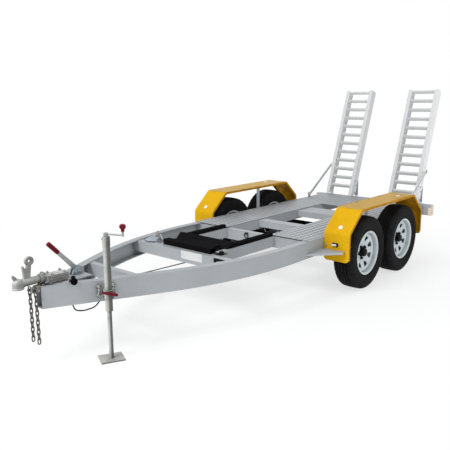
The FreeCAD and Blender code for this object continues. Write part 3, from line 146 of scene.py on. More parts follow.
class Look(Graph):
    """A new material, with the patterns that its colour, roughness and bump are made of."""

    def __init__(self, name):
        self.material = bpy.data.materials.new(name)
        self.material.use_nodes = True
        super().__init__(self.material.node_tree)
        self.shader = self.tree.nodes["Principled BSDF"]

    def pattern(self, kind, output, scale, detail, stretch=None, **inputs):
        """Procedural texture on the object's own coordinates, drawn out along an axis by stretch."""
        place = self.node("TexCoord", "Object")
        if stretch:
            place = self.node("Mapping", "Vector", {"Vector": place, "Scale": stretch})
        return self.node("Tex" + kind, output, {"Vector": place, "Scale": scale, "Detail": detail, **inputs})

    def noise(self, scale, detail, **options):
        return self.pattern("Noise", "Fac", scale, detail, **options)

    def ramp(self, source, *stops):
        """Colours along a source's values; a single number stands for a grey."""
        item = self.tree.nodes.new("ShaderNodeValToRGB")
        elements = item.color_ramp.elements
        while len(elements) < len(stops):
            elements.new(0.5)
        for element, (place, colour) in zip(elements, stops):
            element.position = place
            element.color = (*colour, 1) if isinstance(colour, tuple) else (colour, colour, colour, 1)
        self.fill(item, {"Fac": source})
        return item.outputs["Color"]

    def mask(self, source, low, high, top=1.0, bottom=0.0):
        """Grey that goes from bottom to top while a source goes from low to high."""
        return self.ramp(source, (low, bottom), (high, top))

    def blend(self, share, first, second, kind="MIX"):
        item = self.tree.nodes.new("ShaderNodeMix")
        item.data_type = "RGBA"
        item.blend_type = kind
        self.fill(item, {0: share, 6: first, 7: second})
        return item.outputs[2]

    def normal(self):
        return self.node("NewGeometry", "Normal")

    def towards(self, direction):
        """One where a face looks along a direction, minus one where it looks against it."""
        return self.vector_math("DOT_PRODUCT", "Value", self.normal(), direction)

    def painted_light_by_facing(self, direction, stops):
        """Painted light: greys by the way a face looks, from against a direction (0) to along it (1)."""
        return self.ramp(self.calculate("MULTIPLY_ADD", self.towards(direction), 0.5, 0.5), *stops)

    def corners(self, reach, share):
        """Painted shade: the share in crevices and inside corners, from ambient occlusion, nought on open
        surfaces.
        """
        cavity = self.tree.nodes.new("ShaderNodeAmbientOcclusion")
        cavity.inputs["Distance"].default_value = reach
        cavity.samples = 4
        return self.calculate("MULTIPLY", self.mask(cavity.outputs["AO"], 0.35, 0.85, 0.0, 1.0), share)

    def shade(self, tone, rough, height, strength, depth=0.001, metallic=0.0, specular=0.3):
        """Fills the shader; the bump's depth is in metres."""
        bump = self.node("Bump", "Normal", {"Strength": strength, "Distance": depth, "Height": height})
        self.fill(self.shader, {"Base Color": tone, "Roughness": rough, "Normal": bump, "Metallic": metallic,
                                "Specular IOR Level": specular})
        return self


UP = (0, 0, 1)
TO_ONE_SIDE = (-0.651, 0.759, 0)
# Greys of painted reflection, of what bright metal mirrors around an upright face, and of painted shade from
# a face's underside to its top.
PAINTED_REFLECTION_GREYS = ((0.0, 0.20), (0.06, 0.9), (0.28, 1.0), (0.44, 0.72), (0.56, 0.55), (0.63, 0.2), (0.95, 0.12),
            (1.0, 0.3))
PAINTED_SHADE_UNDER_TO_TOP = ((0.15, 0.15), (0.5, 0.62), (0.85, 1.0))
# Shares of its own colour that a mark leaves; the third is the painted shade in corners.
STREAK, FLECK, CORNER_SHADE, FILM, FILM_DUST = 0.72, 0.45, 0.35, 0.55, 0.12
# The first here darkens dull stains and also paints shade on turned tread cells; the second is deeper painted
# shade in the corners of bare metal.
DULL_AND_SHADED, DEEP_CORNER_SHADE = 0.42, 0.16


def paint(name, colour, roughness=0.35, mottle=0.06, metallic=0.0, edge_wear_and_shade=None, grime=0.25, coat=0.0,
          peel=0.15, streak=0.05, dust=(0.42, 0.40, 0.37), settle=0.12, specular=0.3, corner=0.35,
          flat=(0.35, 0.9)):
    """Sprayed finish: mottle, streaks, dust on top and in patches, painted shade in corners, edges in another
    colour (wear where lighter, painted shade lines where darker) and orange peel.

    Dust settles where a face looks up by as much as flat says, from its first value to its second.
    """
    look = Look(name)
    tone = look.ramp(look.noise(scale=5.0, detail=6.0),
                     (0.32, tint(colour, 1 - mottle)), (0.68, tint(colour, 1 + mottle)))
    streaks = look.mask(look.noise(scale=9.0, detail=5.0, stretch=(0.6, 5.0, 5.0)), 0.45, 0.8, streak * 4)
    tone = look.blend(streaks, tone, tint(colour, STREAK))
    patches = look.noise(scale=2.3, detail=9.0, Roughness=0.62)
    film = tuple(c * FILM + d * FILM_DUST for c, d in zip(colour, dust))
    tone = look.blend(look.mask(patches, 0.5, 0.76, grime), tone, film)
    flecks = look.mask(look.noise(scale=75.0, detail=3.0), 0.7, 0.78, grime * 0.9)
    tone = look.blend(flecks, tone, tint(colour, FLECK))
    lying = look.calculate("MULTIPLY", look.mask(look.towards(UP), *flat), settle)
    tone = look.blend(lying, tone, dust)
    # Painted shade in corners and crevices.
    tone = look.blend(look.corners(0.05, corner), tone, tint(colour, CORNER_SHADE))
    # Edges in another colour: lighter wear on the frame, dark painted shade lines on the ramps.
    if edge_wear_and_shade:
        worn_and_shaded_edges = look.mask(look.node("NewGeometry", "Pointiness"), 0.5, 0.6, 0.8)
        tone = look.blend(worn_and_shaded_edges, tone, edge_wear_and_shade)
    if coat:
        look.fill(look.shader, {"Coat Weight": coat, "Coat Roughness": 0.07})
    rough = look.mask(patches, 0.3, 0.8, roughness + 0.16, roughness - 0.05)
    return look.shade(tone, rough, look.noise(scale=190.0, detail=2.0), peel, metallic=metallic,
                      specular=specular)


def bare_metal(name, colour, roughness=0.38, metallic=0.4, spangle=14.0, contrast=0.18, rust=0.0,
               scratch=0.12, stain=(0.16, 0.075, 0.035), dark=0.35, corner=0.75, specular=0.15,
               painted_reflection=0.0, underside_shade=0.0):
    """Zinc, cast iron or steel: crystal patches, dull stains, scratches, rust, painted shade in corners and
    underneath, and a painted reflection of the surroundings.
    """
    look = Look(name)
    crystals = look.pattern("Voronoi", "Color", spangle, detail=4.0)
    tone = look.ramp(look.node("SeparateColor", "Red", {"Color": crystals}),
                     (0.1, tint(colour, 1 - contrast)), (0.9, tint(colour, 1 + contrast)))
    cloud = look.noise(scale=9.0, detail=8.0, Roughness=0.6)
    tone = look.blend(look.mask(cloud, 0.42, 0.72, dark), tone, tint(colour, DULL_AND_SHADED))
    if rust:
        tone = look.blend(look.mask(look.noise(scale=34.0, detail=6.0), 0.52, 0.68, rust), tone, stain)
    # Painted shade in corners and crevices, deeper than on paint.
    tone = look.blend(look.corners(0.02, corner), tone, tint(colour, DEEP_CORNER_SHADE))
    # Painted reflection: bands by the way a face turns toward one side.
    if painted_reflection:
        tone = look.blend(painted_reflection, tone, look.painted_light_by_facing(TO_ONE_SIDE, PAINTED_REFLECTION_GREYS), "MULTIPLY")
    # Painted shade: darker on faces that look down, lighter on top.
    if underside_shade:
        tone = look.blend(underside_shade, tone, look.painted_light_by_facing(UP, PAINTED_SHADE_UNDER_TO_TOP), "MULTIPLY")
    rough = look.mask(cloud, 0.3, 0.75, roughness + 0.2, roughness - 0.08)
    return look.shade(tone, rough, look.noise(scale=90.0, detail=4.0), scratch, metallic=metallic,
                      specular=specular)


def rubber(name, colour=(0.007, 0.007, 0.0075), roughness=0.72, specular=0.07):
    """Black rubber: dusty patches, scuffs and fine grain."""
    look = Look(name)
    cloud = look.noise(scale=11.0, detail=7.0)
    tone = look.ramp(cloud, (0.4, colour), (0.78, tuple(c * 2.0 + 0.004 for c in colour)))
    scuffs = look.mask(look.noise(scale=70.0, detail=3.0), 0.66, 0.78, 0.5)
    tone = look.blend(scuffs, tone, (0.028, 0.027, 0.026))
    rough = look.mask(cloud, 0.3, 0.7, roughness + 0.12, roughness - 0.1)
    return look.shade(tone, rough, look.noise(scale=300.0, detail=2.0), 0.25, depth=0.0008,
                      specular=specular)


def chequer(name, colour, cell=0.040, bars=3):
    """Rolled tread plate: square cells on the diagonal, with raised bars turned from cell to cell, the bars
    painted lighter as a highlight and the turned cells painted darker as shade.
    """
    look = Look(name)
    calculate = look.calculate
    shift = 500  # Cells, which keep every cell's number above nought.
    place = look.node("Mapping", "Vector", {
        "Vector": look.node("TexCoord", "Object"), "Rotation": (0, 0, radians(45)),
        "Scale": (1 / cell, 1 / cell, 1), "Location": (shift, shift, 0)})
    along_x, along_y = (look.node("SeparateXYZ", axis, {"Vector": place}) for axis in "XY")
    cells = calculate("ADD", calculate("FLOOR", along_x), calculate("FLOOR", along_y))
    turned = calculate("MODULO", cells, 2.0)
    other = calculate("SUBTRACT", 1.0, turned)
    across = calculate("MULTIPLY_ADD", along_x, turned, calculate("MULTIPLY", along_y, other))
    along = calculate("MULTIPLY_ADD", along_y, turned, calculate("MULTIPLY", along_x, other))
    ridge = look.mask(calculate("PINGPONG", calculate("MULTIPLY", across, float(bars)), 0.5), 0.14, 0.34)
    raised = calculate("MULTIPLY", ridge, look.mask(calculate("PINGPONG", along, 0.5), 0.05, 0.14))
    cloud = look.noise(scale=5.0, detail=7.0)
    base = look.ramp(cloud, (0.35, tint(colour, 0.62)), (0.7, tint(colour, 0.85)))
    # Painted highlight: the raised bars lighter than the plate between them.
    highlit_bars = look.ramp(cloud, (0.35, tint(colour, 1.15)), (0.7, tint(colour, 1.4)))
    tone = look.blend(raised, base, highlit_bars)
    # Painted shade: every other cell darker, as bars turned away from the light.
    tone = look.blend(calculate("MULTIPLY", turned, 0.9), tone, tint(colour, DULL_AND_SHADED))
    rough = look.mask(cloud, 0.3, 0.8, 0.6, 0.42)
    return look.shade(tone, rough, raised, 0.8, depth=0.0022, metallic=0.05, specular=0.08)


def guard_paint(name, colour, underside_shade):
    """Yellow paint outside; inside, toward the wheels, a darker mottled orange as painted shade."""
    look = paint(name, colour, 0.26, 0.05, grime=0.12, peel=0.08, dust=(0.43, 0.25, 0.03),
                 settle=0.8, specular=0.02, corner=0.2, flat=(0.8, 0.97))
    outside = look.shader.inputs["Base Color"].links[0].from_socket
    wheels_middle, in_profile = (AXLES_X, 0, 0.45), (1, 0, 1)
    offset = look.vector_math("SUBTRACT", "Vector", look.node("TexCoord", "Object"), wheels_middle)
    offset = look.vector_math("MULTIPLY", "Vector", offset, in_profile)
    outward = look.vector_math("DOT_PRODUCT", "Value", offset, look.normal())
    # Painted shade on the faces turned toward the wheels.
    shaded_inside = look.ramp(look.noise(scale=14.0, detail=8.0), (0.35, underside_shade), (0.72, tint(underside_shade, 1.7)))
    tone = look.blend(look.mask(outward, 0.0, 0.02, 0.0, 1.0), outside, shaded_inside)
    look.fill(look.shader, {"Base Color": tone})
    return look


# Colour, roughness, then mottle (paint) or metallic, spangle and contrast (bare metal).
LOOKS = {
    "frame_silver": paint("frame_paint", (0.355, 0.375, 0.39), 0.4, 0.06, metallic=0.05,
                          edge_wear_and_shade=(0.46, 0.48, 0.5), grime=0.18, dust=(0.25, 0.26, 0.27), settle=0.6,
                          specular=0.04),
    "chequer_plate": chequer("chequer", (0.44, 0.46, 0.48)),
    # Its dark edges are painted shade lines along the rungs and stringers.
    "ramp_silver": paint("ramp_paint", (0.91, 0.915, 0.92), 0.4, 0.02, edge_wear_and_shade=(0.16, 0.17, 0.18), grime=0.06,
                         streak=0.02, dust=(0.7, 0.69, 0.67), settle=0.05, specular=0.15, corner=0.0),
    # The second colour is the painted shade inside the guards.
    "guard_yellow": guard_paint("guard_paint", (0.70, 0.395, 0.010), (0.36, 0.17, 0.005)),
    "carrier_black": paint("black_paint", (0.009, 0.009, 0.010), 0.45, 0.15, grime=0.3,
                           dust=(0.03, 0.03, 0.03), specular=0.0, corner=0.1),
    "hub_black": paint("hub_paint", (0.006, 0.006, 0.006), 0.42, 0.2, dust=(0.03, 0.03, 0.03), specular=0.06,
                       corner=0.1),
    "rim_white": paint("rim_paint", (0.60, 0.66, 0.68), 0.32, 0.03, coat=0.15, grime=0.14, streak=0.02,
                       dust=(0.4, 0.39, 0.37), corner=0.6),
    # The reflection and underside shares of bare metal are painted reflection and painted shade.
    "zinc": bare_metal("zinc_plate", (0.56, 0.56, 0.53), 0.42, 0.05, painted_reflection=0.9, underside_shade=0.3, specular=0.1),
    "plain_zinc": bare_metal("plain_zinc", (0.40, 0.41, 0.40), 0.42, 0.05, specular=0.1, underside_shade=0.3),
    "cast_zinc": bare_metal("cast_zinc", (0.60, 0.605, 0.585), 0.4, 0.05, 40.0, 0.12, scratch=0.4, dark=0.6,
                            painted_reflection=0.45, underside_shade=1.0, specular=0.1),
    "old_zinc": bare_metal("old_zinc", (0.42, 0.38, 0.32), 0.55, 0.1, 30.0, 0.15, rust=0.4, scratch=0.3,
                           stain=(0.16, 0.09, 0.05), underside_shade=0.4),
    "blue_zinc": bare_metal("blue_zinc", (0.36, 0.43, 0.47), 0.4, 0.05, 18.0, 0.25, painted_reflection=0.2,
                            specular=0.1),
    "gusset": bare_metal("gusset_zinc", (0.30, 0.34, 0.39), 0.45, 0.1, 18.0, 0.3, dark=0.6, painted_reflection=0.4),
    "chain_steel": bare_metal("chain", (0.12, 0.11, 0.10), 0.42, 0.3, 60.0, 0.3, rust=0.35, underside_shade=0.4),
    "dark_steel": bare_metal("dark_steel", (0.04, 0.038, 0.036), 0.5, 0.2, 40.0, 0.3, rust=0.3),
    "red_grip": paint("red_moulding", (0.14, 0.005, 0.014), 0.38, 0.08, grime=0.1, dust=(0.2, 0.1, 0.1),
                      settle=0.03, specular=0.08),
    "tyre": rubber("tyre_rubber"),
    "hose_rubber": rubber("hose_sheath", (0.004, 0.004, 0.004), 0.5, specular=0.0),
    "lamp_red": paint("red_lens", (0.42, 0.008, 0.008), 0.15, 0.05, coat=0.4, grime=0.05, peel=0.02,
                      settle=0.03),
    "lamp_white": paint("lamp_body", (0.010, 0.010, 0.010), 0.35, 0.05, dust=(0.05, 0.05, 0.05),
                        specular=0.1),
    "clear_lens": paint("clear_lens", (0.80, 0.81, 0.80), 0.12, 0.04, coat=0.4, grime=0.08, peel=0.02,
                        settle=0.03),
    "amber_lens": paint("amber_lens", (0.75, 0.25, 0.01), 0.15, 0.05, coat=0.4, grime=0.05, settle=0.03),
    "reflector": paint("reflector", (0.78, 0.78, 0.74), 0.2, 0.06, coat=0.3, grime=0.2, settle=0.05),
    "plate_white": paint("plate_paint", (0.72, 0.725, 0.73), 0.3, 0.03, grime=0.2, streak=0.02),
    "warm_cap": paint("cap_paint", (0.80, 0.71, 0.58), 0.45, 0.06, grime=0.2, specular=0.1),
}

# The frame's nodes: looks that differ from the material slot's own, and widths of the rounded edges in mm.
OTHER_LOOKS = {"suspension_left": "dark_steel", "suspension_right": "dark_steel", "brake_lever": "plain_zinc",
               "jack_mount": "plain_zinc", "jack_crank": "plain_zinc", "ramp_lugs_left": "plain_zinc",
               "ramp_lugs_right": "plain_zinc"}
EDGES = {"carrier_frame": 4, "lever_grip": 3, "lever_bush": 3, "mudguard_left": 1.2, "mudguard_right": 1.2,
         "track_plate_left": 1.5, "track_plate_right": 1.5, "blank_plate": 0.6,
         "ramp_stringers_left": 2.8, "ramp_stringers_right": 2.8}
USUAL_EDGE, WELD_WITHIN = 2, 0.00002
NODES_SHARP_FROM, PIECES_SHARP_FROM = radians(38), radians(35)
slots = {row["node"]: row["material_slot"] for row in frame["record"]["subparts"]}


def add_weld(item):
    item.modifiers.new("weld", "WELD").merge_threshold = WELD_WITHIN


def add_bevel(item, width, sharp_from):
    bevel = item.modifiers.new("edges", "BEVEL")
    bevel.width = width * MM
    bevel.segments = 2
    bevel.limit_method = "ANGLE"
    bevel.angle_limit = sharp_from


for name, item in nodes.items():
    item.data.materials.clear()
    item.data.materials.append(LOOKS[OTHER_LOOKS.get(name, slots[name])].material)
    add_weld(item)
    add_bevel(item, EDGES.get(name, USUAL_EDGE), NODES_SHARP_FROM)
    item.modifiers.new("shading", "WEIGHTED_NORMAL")


# Floor and light
FLOOR_HALF, FLOOR_Z, FLOOR_GREY = 40, -0.001, 0.93
FADE = {"From Min": 1.0, "From Max": 4.2, "To Min": 0.66, "To Max": 1.0}
WHITE, DAYLIGHT, DAYLIGHT_STRENGTH = (1, 1, 1), (0.96, 0.98, 1.0), 0.6
# Name, place, target and side of the square in metres, power in watts.
LIGHTS = (("key", (8.6, -0.85, 8.6), (0.2, 0, 0.4), 4.2, 715),
          ("side", (1.0, 6.5, 4.5), (-0.3, 0, 0.4), 4.0, 115),
          ("back", (-6.0, -4.5, 5.5), (-0.5, 0, 0.5), 4.0, 150))


def make_floor():
    """Pale floor that keeps a soft shadow near the trailer and fades to white further out."""
    mesh = bpy.data.meshes.new("floor")
    corners = [(x * FLOOR_HALF, y * FLOOR_HALF, FLOOR_Z) for x, y in ((-1, -1), (1, -1), (1, 1), (-1, 1))]
    mesh.from_pydata(corners, [], [(0, 1, 2, 3)])
    item = bpy.data.objects.new("floor", mesh)
    scene.collection.objects.link(item)
    look = Look("floor")
    look.fill(look.shader, {"Base Color": (FLOOR_GREY,) * 3, "Roughness": 0.8, "Specular IOR Level": 0.1})
    white = look.node("Emission", "Emission", {"Color": WHITE})
    reach = look.node("VectorMath", "Value", {0: look.node("TexCoord", "Object")}, "LENGTH")
    fade = look.tree.nodes.new("ShaderNodeMapRange")
    fade.interpolation_type = "SMOOTHSTEP"
    look.fill(fade, {**FADE, "Value": reach})
    share = look.calculate("MULTIPLY", look.seen_directly(), fade.outputs["Result"])
    surface = look.mix_shaders(share, look.shader.outputs["BSDF"], white)
    look.fill(look.tree.nodes["Material Output"], {"Surface": surface})
    mesh.materials.append(look.material)


def make_world():
    """White where it is seen, and plain daylight for what it lights."""
    scene.world = bpy.data.worlds.new("studio")
    scene.world.use_nodes = True
    graph = Graph(scene.world.node_tree)
    daylight = graph.tree.nodes["Background"]
    graph.fill(daylight, {"Color": DAYLIGHT, "Strength": DAYLIGHT_STRENGTH})
    seen = graph.node("Background", "Background", {"Color": WHITE, "Strength": 1.0})
    surface = graph.mix_shaders(graph.seen_directly(), daylight.outputs["Background"], seen)
    graph.fill(graph.tree.nodes["World Output"], {"Surface": surface})


make_floor()
make_world()
for name, place, target, size, power in LIGHTS:
    light = bpy.data.lights.new(name, "AREA")
    light.shape = "SQUARE"
    light.size = size
    light.energy = power
    item = bpy.data.objects.new(name, light)
    scene.collection.objects.link(item)
    item.location = place
    item.rotation_mode = "QUATERNION"
    item.rotation_quaternion = (Vector(target) - Vector(place)).to_track_quat("-Z", "Y")
scene.view_settings.view_transform = "Standard"


# Making pieces
def frame_of(axis):
    """A direction and two others square to it."""
    axis = axis.normalized()
    side = axis.cross(Z if abs(axis.z) < 0.9 else X).normalized()
    return axis, side, side.cross(axis)


def circle(centre, side, rise, radius, count):
    return [centre + (side * cos(tau * i / count) + rise * sin(tau * i / count)) * (radius * MM)
            for i in range(count)]


def points(origin, *steps):
    return [origin + vec(*step) for step in steps]


# A nut's reaches as shares of its height, and its radii as shares of its width across flats.
WASHER = ((0, 0.74), (0.12, 0.78), (0.16, 0.74))
HEXAGON = ((0.16, 0.54), (0.26, 0.577), (0.88, 0.577), (1.0, 0.47))
THREAD_FROM, THREAD, TIP, TIP_LENGTH = 0.96, 0.28, 0.22, 0.06
# Weld beads: metres between lumps, and shares of the radius in the dips and at the ends.
BEAD_STEP, BEAD_DIP, BEAD_END = 0.006, 0.78, 0.55


class Shape:
    """A piece in the making: points in metres; radii, profiles and widths in millimetres."""

    def __init__(self):
        self.bm = bmesh.new()

    def loft(self, sections, caps=True, ring=False, is_open=None):
        """Skin through rings of equally many points; ring joins the last to the first."""
        rows = [[self.bm.verts.new(point) for point in section] for section in sections]
        count = len(rows[0])
        pairs = list(zip(rows, rows[1:]))
        if ring:
            pairs.append((rows[-1], rows[0]))
        for row, (first, second) in enumerate(pairs):
            for index in range(count):
                if is_open and is_open(row, index):
                    continue
                after = (index + 1) % count
                self.bm.faces.new((first[index], first[after], second[after], second[index]))
        if caps and not ring:
            self.bm.faces.new(rows[0][::-1])
            self.bm.faces.new(rows[-1])

    def turned(self, centre, axis, profile, count=32, ring=False):
        """Surface turned about an axis; the profile is (reach along the axis, radius)."""
        axis, side, rise = frame_of(axis)
        self.loft([circle(centre + axis * (reach * MM), side, rise, radius, count)
                   for reach, radius in profile], ring=ring)

    def sweep(self, line, radius, count=10, closed=False):
        """Round bar along a line of points, carried along without twist."""
        last = len(line) - 1
        ways = []
        for index, point in enumerate(line):
            before = line[index - 1] if closed or index else point
            after = line[(index + 1) % len(line)] if closed or index < last else point
            ways.append((after - before).normalized())
        side = frame_of(ways[0])[1]
        sections = []
        for point, way in zip(line, ways):
            side = (side - way * side.dot(way)).normalized()
            sections.append(circle(point, side, way.cross(side), radius, count))
        self.loft(sections, ring=closed)

    def nut(self, centre, axis, across, height, stub=0.3):
        """Hexagon nut on a round washer, with a stub of thread as a share of the height."""
        parts = [(WASHER, 20), (HEXAGON, 6)]
        if stub:
            end = THREAD_FROM + stub
            parts.append((((THREAD_FROM, THREAD), (end, THREAD), (end + TIP_LENGTH, TIP)), 12))
        for shares, count in parts:
            self.turned(centre, axis, [(reach * height, radius * across) for reach, radius in shares], count)

    def box(self, corner, opposite):
        for vert in bmesh.ops.create_cube(self.bm, size=1)["verts"]:
            vert.co = [(a + b) / 2 + place * abs(b - a) for a, b, place in zip(corner, opposite, vert.co)]

    def plate(self, centre, along, across, outline, thick):
        """Flat plate: an outline in two directions, with its thickness both ways."""
        normal = along.cross(across)
        self.loft([[centre + (along * a + across * b + normal * lift) * MM for a, b in outline]
                   for lift in (-thick / 2, thick / 2)])

    def bead(self, start, end, radius=3.0, lumps=None):
        """Weld bead: a low uneven ridge between two points."""
        way, side, rise = frame_of(end - start)
        steps = 2 * (lumps or max(3, int((end - start).length / BEAD_STEP)))
        sections = []
        for index in range(steps + 1):
            swell = (1.0 if index % 2 else BEAD_DIP) * (BEAD_END if index in (0, steps) else 1)
            sections.append(circle(start.lerp(end, index / steps), side, rise, radius * swell, 6))
        self.loft(sections)

    def finish(self, name, look, body="chassis", bevel=0.0, smooth=None, stands_for=None):
        """Links the piece to its body; smooth is the angle in degrees above which an edge stays sharp."""
        mesh = bpy.data.meshes.new(name)
        bmesh.ops.recalc_face_normals(self.bm, faces=self.bm.faces)
        self.bm.to_mesh(mesh)
        self.bm.free()
        item = bpy.data.objects.new(name, mesh)
        scene.collection.objects.link(item)
        mesh.materials.append(LOOKS[look].material)
        if smooth:
            mesh.shade_smooth()
            mesh.set_sharp_from_angle(angle=radians(smooth))
        if bevel:
            add_bevel(item, bevel, PIECES_SHARP_FROM)
        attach(item, body)
        if stands_for:
            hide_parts(stands_for)
        return item


SOFTEN = 0.6


def cast_copy(name, node, voxel, rounds):
    """Casting with soft edges, from a node's own solid; the voxel is in millimetres."""
    source = nodes[node]
    item = bpy.data.objects.new(name, source.data.copy())
    scene.collection.objects.link(item)
    item.matrix_world = source.matrix_world.copy()
    item.data.materials.clear()
    item.data.materials.append(LOOKS["cast_zinc"].material)
    add_weld(item)
    remesh = item.modifiers.new("remesh", "REMESH")
    remesh.mode = "VOXEL"
    remesh.voxel_size = voxel * MM
    remesh.use_smooth_shade = True
    soften = item.modifiers.new("soften", "SMOOTH")
    soften.factor = SOFTEN
    soften.iterations = rounds
    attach(item, "chassis")
    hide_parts(node)


# Wheels: name, millimetres forward of the axles' midpoint, and side.
WHEELS = [(f"{end}_{label}", x, side) for end, x in (("front", HALF_SPACING), ("rear", -HALF_SPACING))
          for label, side in SIDES]
WHEEL_Y = 830

# Tyres: beads, ribbed sidewalls, notched shoulders and four grooves; (across, radius).
TYRE_RADIUS, CROWN, TREAD_HALF, TYRE_STEPS = 346.5, 2.8, 66, 168
SIDEWALL = [(78.5, 194.5), (83.2, 208.5), (85, 213.5), (88, 218), (89.2, 224), (91.2, 225), (91.7, 227.5),
            (91.2, 230), (94.8, 246), (97.8, 264), (98.8, 278), (99, 282), (98, 283.5), (98, 298),
            (98.8, 299.5), (97.2, 306), (92.5, 318), (86.8, 330), (80, 338.5), (70, 343.5)]
GROOVES, GROOVE_PROFILE = (-48, -16, 16, 48), ((-4.7, 0), (-3.5, 8), (3.5, 8), (4.7, 0))
SHOULDER, NOTCH_DEPTH = (329, 343.7), 5.5
TREAD_FROM, SIPE_DEPTH = 344, 2.2


def cut_radius(radius, index):
    """The radius with every fourth step cut: notches in the shoulder, and sipes in the tread."""
    if index % 4 == 0 and SHOULDER[0] < radius < SHOULDER[1]:
        return radius - NOTCH_DEPTH
    if index % 4 == 2 and radius > TREAD_FROM:
        return radius - SIPE_DEPTH
    return radius


tyre_profile = [(-y, radius) for y, radius in SIDEWALL]
for groove in GROOVES:
    for offset, depth in GROOVE_PROFILE:
        y = groove + offset
        tyre_profile.append((y, TYRE_RADIUS - CROWN * (abs(y) / TREAD_HALF) ** 2 - depth))
tyre_profile += SIDEWALL[::-1]
for wheel, x, side in WHEELS:
    shape = Shape()
    centre = at(x, WHEEL_Y * side, WHEEL_Z)
    sections = []
    for reach, radius in tyre_profile:
        section = []
        for index in range(TYRE_STEPS):
            angle, cut = tau * index / TYRE_STEPS, cut_radius(radius, index)
            section.append(centre + vec(cos(angle) * cut, reach, sin(angle) * cut))
        sections.append(section)
    shape.loft(sections, ring=True)
    shape.finish(f"tyre_{wheel}_dressed", "tyre", body=f"wheel_{wheel}", smooth=24,
                 stands_for=f"tyre_{wheel}")

# Rims: turned barrel with curled flanges and a valve, and a dished disc with eight windows.
BARREL = [(84.5, 192.5), (80, 189.5), (50, 188), (40, 187.2), (30, 178), (-12, 178), (-22, 186.8),
          (-80, 189.2), (-84.5, 192.5), (-87, 198), (-88.5, 203.5), (-88.8, 206.5), (-87.8, 208),
          (-86.2, 207.8), (-85, 203), (-82.5, 196.5), (-79.5, 193.7), (-26, 192.8), (-14, 182.8), (32, 182.8),
          (44, 192.8), (79.5, 193.7), (82.5, 196.5), (85, 203), (86.2, 207.8), (87.8, 208), (88.8, 206.5),
          (88.5, 203.5), (87, 198)]
VALVE_ANGLE, VALVE_RADIUS, VALVE_OUT = radians(205), 183.5, 52
VALVE = [(0, 5.5), (6, 5.5), (8, 4), (26, 3.8), (28, 3)]
# Radius, reach outward and half the window's width there.
DISC = [(187, 44, 30), (183.5, 46.8, 30), (174, 47, 30), (162, 44, 30), (158, 42.8, 32), (153, 41.2, 31),
        (131, 35.2, 20.5), (107, 29, 9.5), (101, 26.8, 9), (90, 22.8, 8.5), (81, 20, 8), (74, 19, 7.5),
        (43, 19, 6)]
WINDOWS, WINDOW_ROWS, WINDOW_COLUMNS, SECTOR_POINTS = 8, (5, 6), (2, 3), 6
SECTOR, SPOKE_FROM = 360 / WINDOWS, 16.5
DISC_THICK = 6.5
HUB_FACE, WHEEL_NUTS, NUT_CIRCLE, FIRST_NUT = 22.2, 5, 57.5, {1: 98, -1: 110}
HUB_RING = [(0, 39.5), (2, 42), (6, 42), (8, 39.5)]
HUB_CAP_OUT, HUB_CAP = 62.5, [(0, 33), (1, 32.5), (2.2, 27), (3, 12), (3.2, 1)]
SHIELD_OUT = -6
SHIELD = [(0, 60), (0, 170), (1.5, 174), (5, 174), (6.5, 169), (7, 130), (10, 124), (10, 60)]


def is_window(row, index):
    return row in WINDOW_ROWS and index % SECTOR_POINTS in WINDOW_COLUMNS


for wheel, x, side in WHEELS:
    centre, axis, body = at(x, WHEEL_Y * side, WHEEL_Z), Y * side, f"wheel_{wheel}"
    shape = Shape()
    shape.turned(centre, axis, BARREL, 96, ring=True)
    valve = vec(cos(VALVE_ANGLE) * VALVE_RADIUS, VALVE_OUT * side, sin(VALVE_ANGLE) * VALVE_RADIUS)
    shape.turned(centre + valve, axis, VALVE, 12)
    shape.finish(f"rim_{wheel}_dressed", "rim_white", body=body, smooth=30, stands_for=f"rim_{wheel}")

    shape = Shape()
    sections = []
    for radius, reach, half in DISC:
        section = []
        wide = degrees(asin(half / radius))
        for sector in range(WINDOWS):
            for offset in (-SECTOR / 2, -SPOKE_FROM, -wide, 0, wide, SPOKE_FROM):
                angle = radians(SECTOR * (sector + 0.5) + offset)
                section.append(centre + vec(sin(angle) * radius, reach * side, cos(angle) * radius))
        sections.append(section)
    shape.loft(sections, caps=False, is_open=is_window)
    disc = shape.finish(f"rim_{wheel}_disc", "rim_white", body=body, smooth=180, stands_for=f"rim_{wheel}")
    thick = disc.modifiers.new("thick", "SOLIDIFY")
    thick.thickness = DISC_THICK * MM
    thick.offset = 0
    thick.use_even_offset = True
    fine = disc.modifiers.new("fine", "SUBSURF")
    fine.levels = fine.render_levels = 2

    shape = Shape()
    for index in range(WHEEL_NUTS):
        angle = radians(FIRST_NUT[side] + 360 / WHEEL_NUTS * index)
        spot = centre + vec(sin(angle) * NUT_CIRCLE, HUB_FACE * side, cos(angle) * NUT_CIRCLE)
        shape.nut(spot, axis, 21, 19, stub=0.1)
    shape.turned(centre + vec(0, HUB_FACE * side, 0), axis, HUB_RING, 40)
    shape.turned(centre + vec(0, HUB_CAP_OUT * side, 0), axis, HUB_CAP, 40)
    shape.finish(f"hub_{wheel}_nuts", "hub_black", body=body, smooth=30)
    shape = Shape()
    shape.turned(centre + vec(0, SHIELD_OUT * side, 0), axis, SHIELD, 72, ring=True)
    shape.finish(f"hub_{wheel}_shield", "hub_black", body=body, smooth=30)

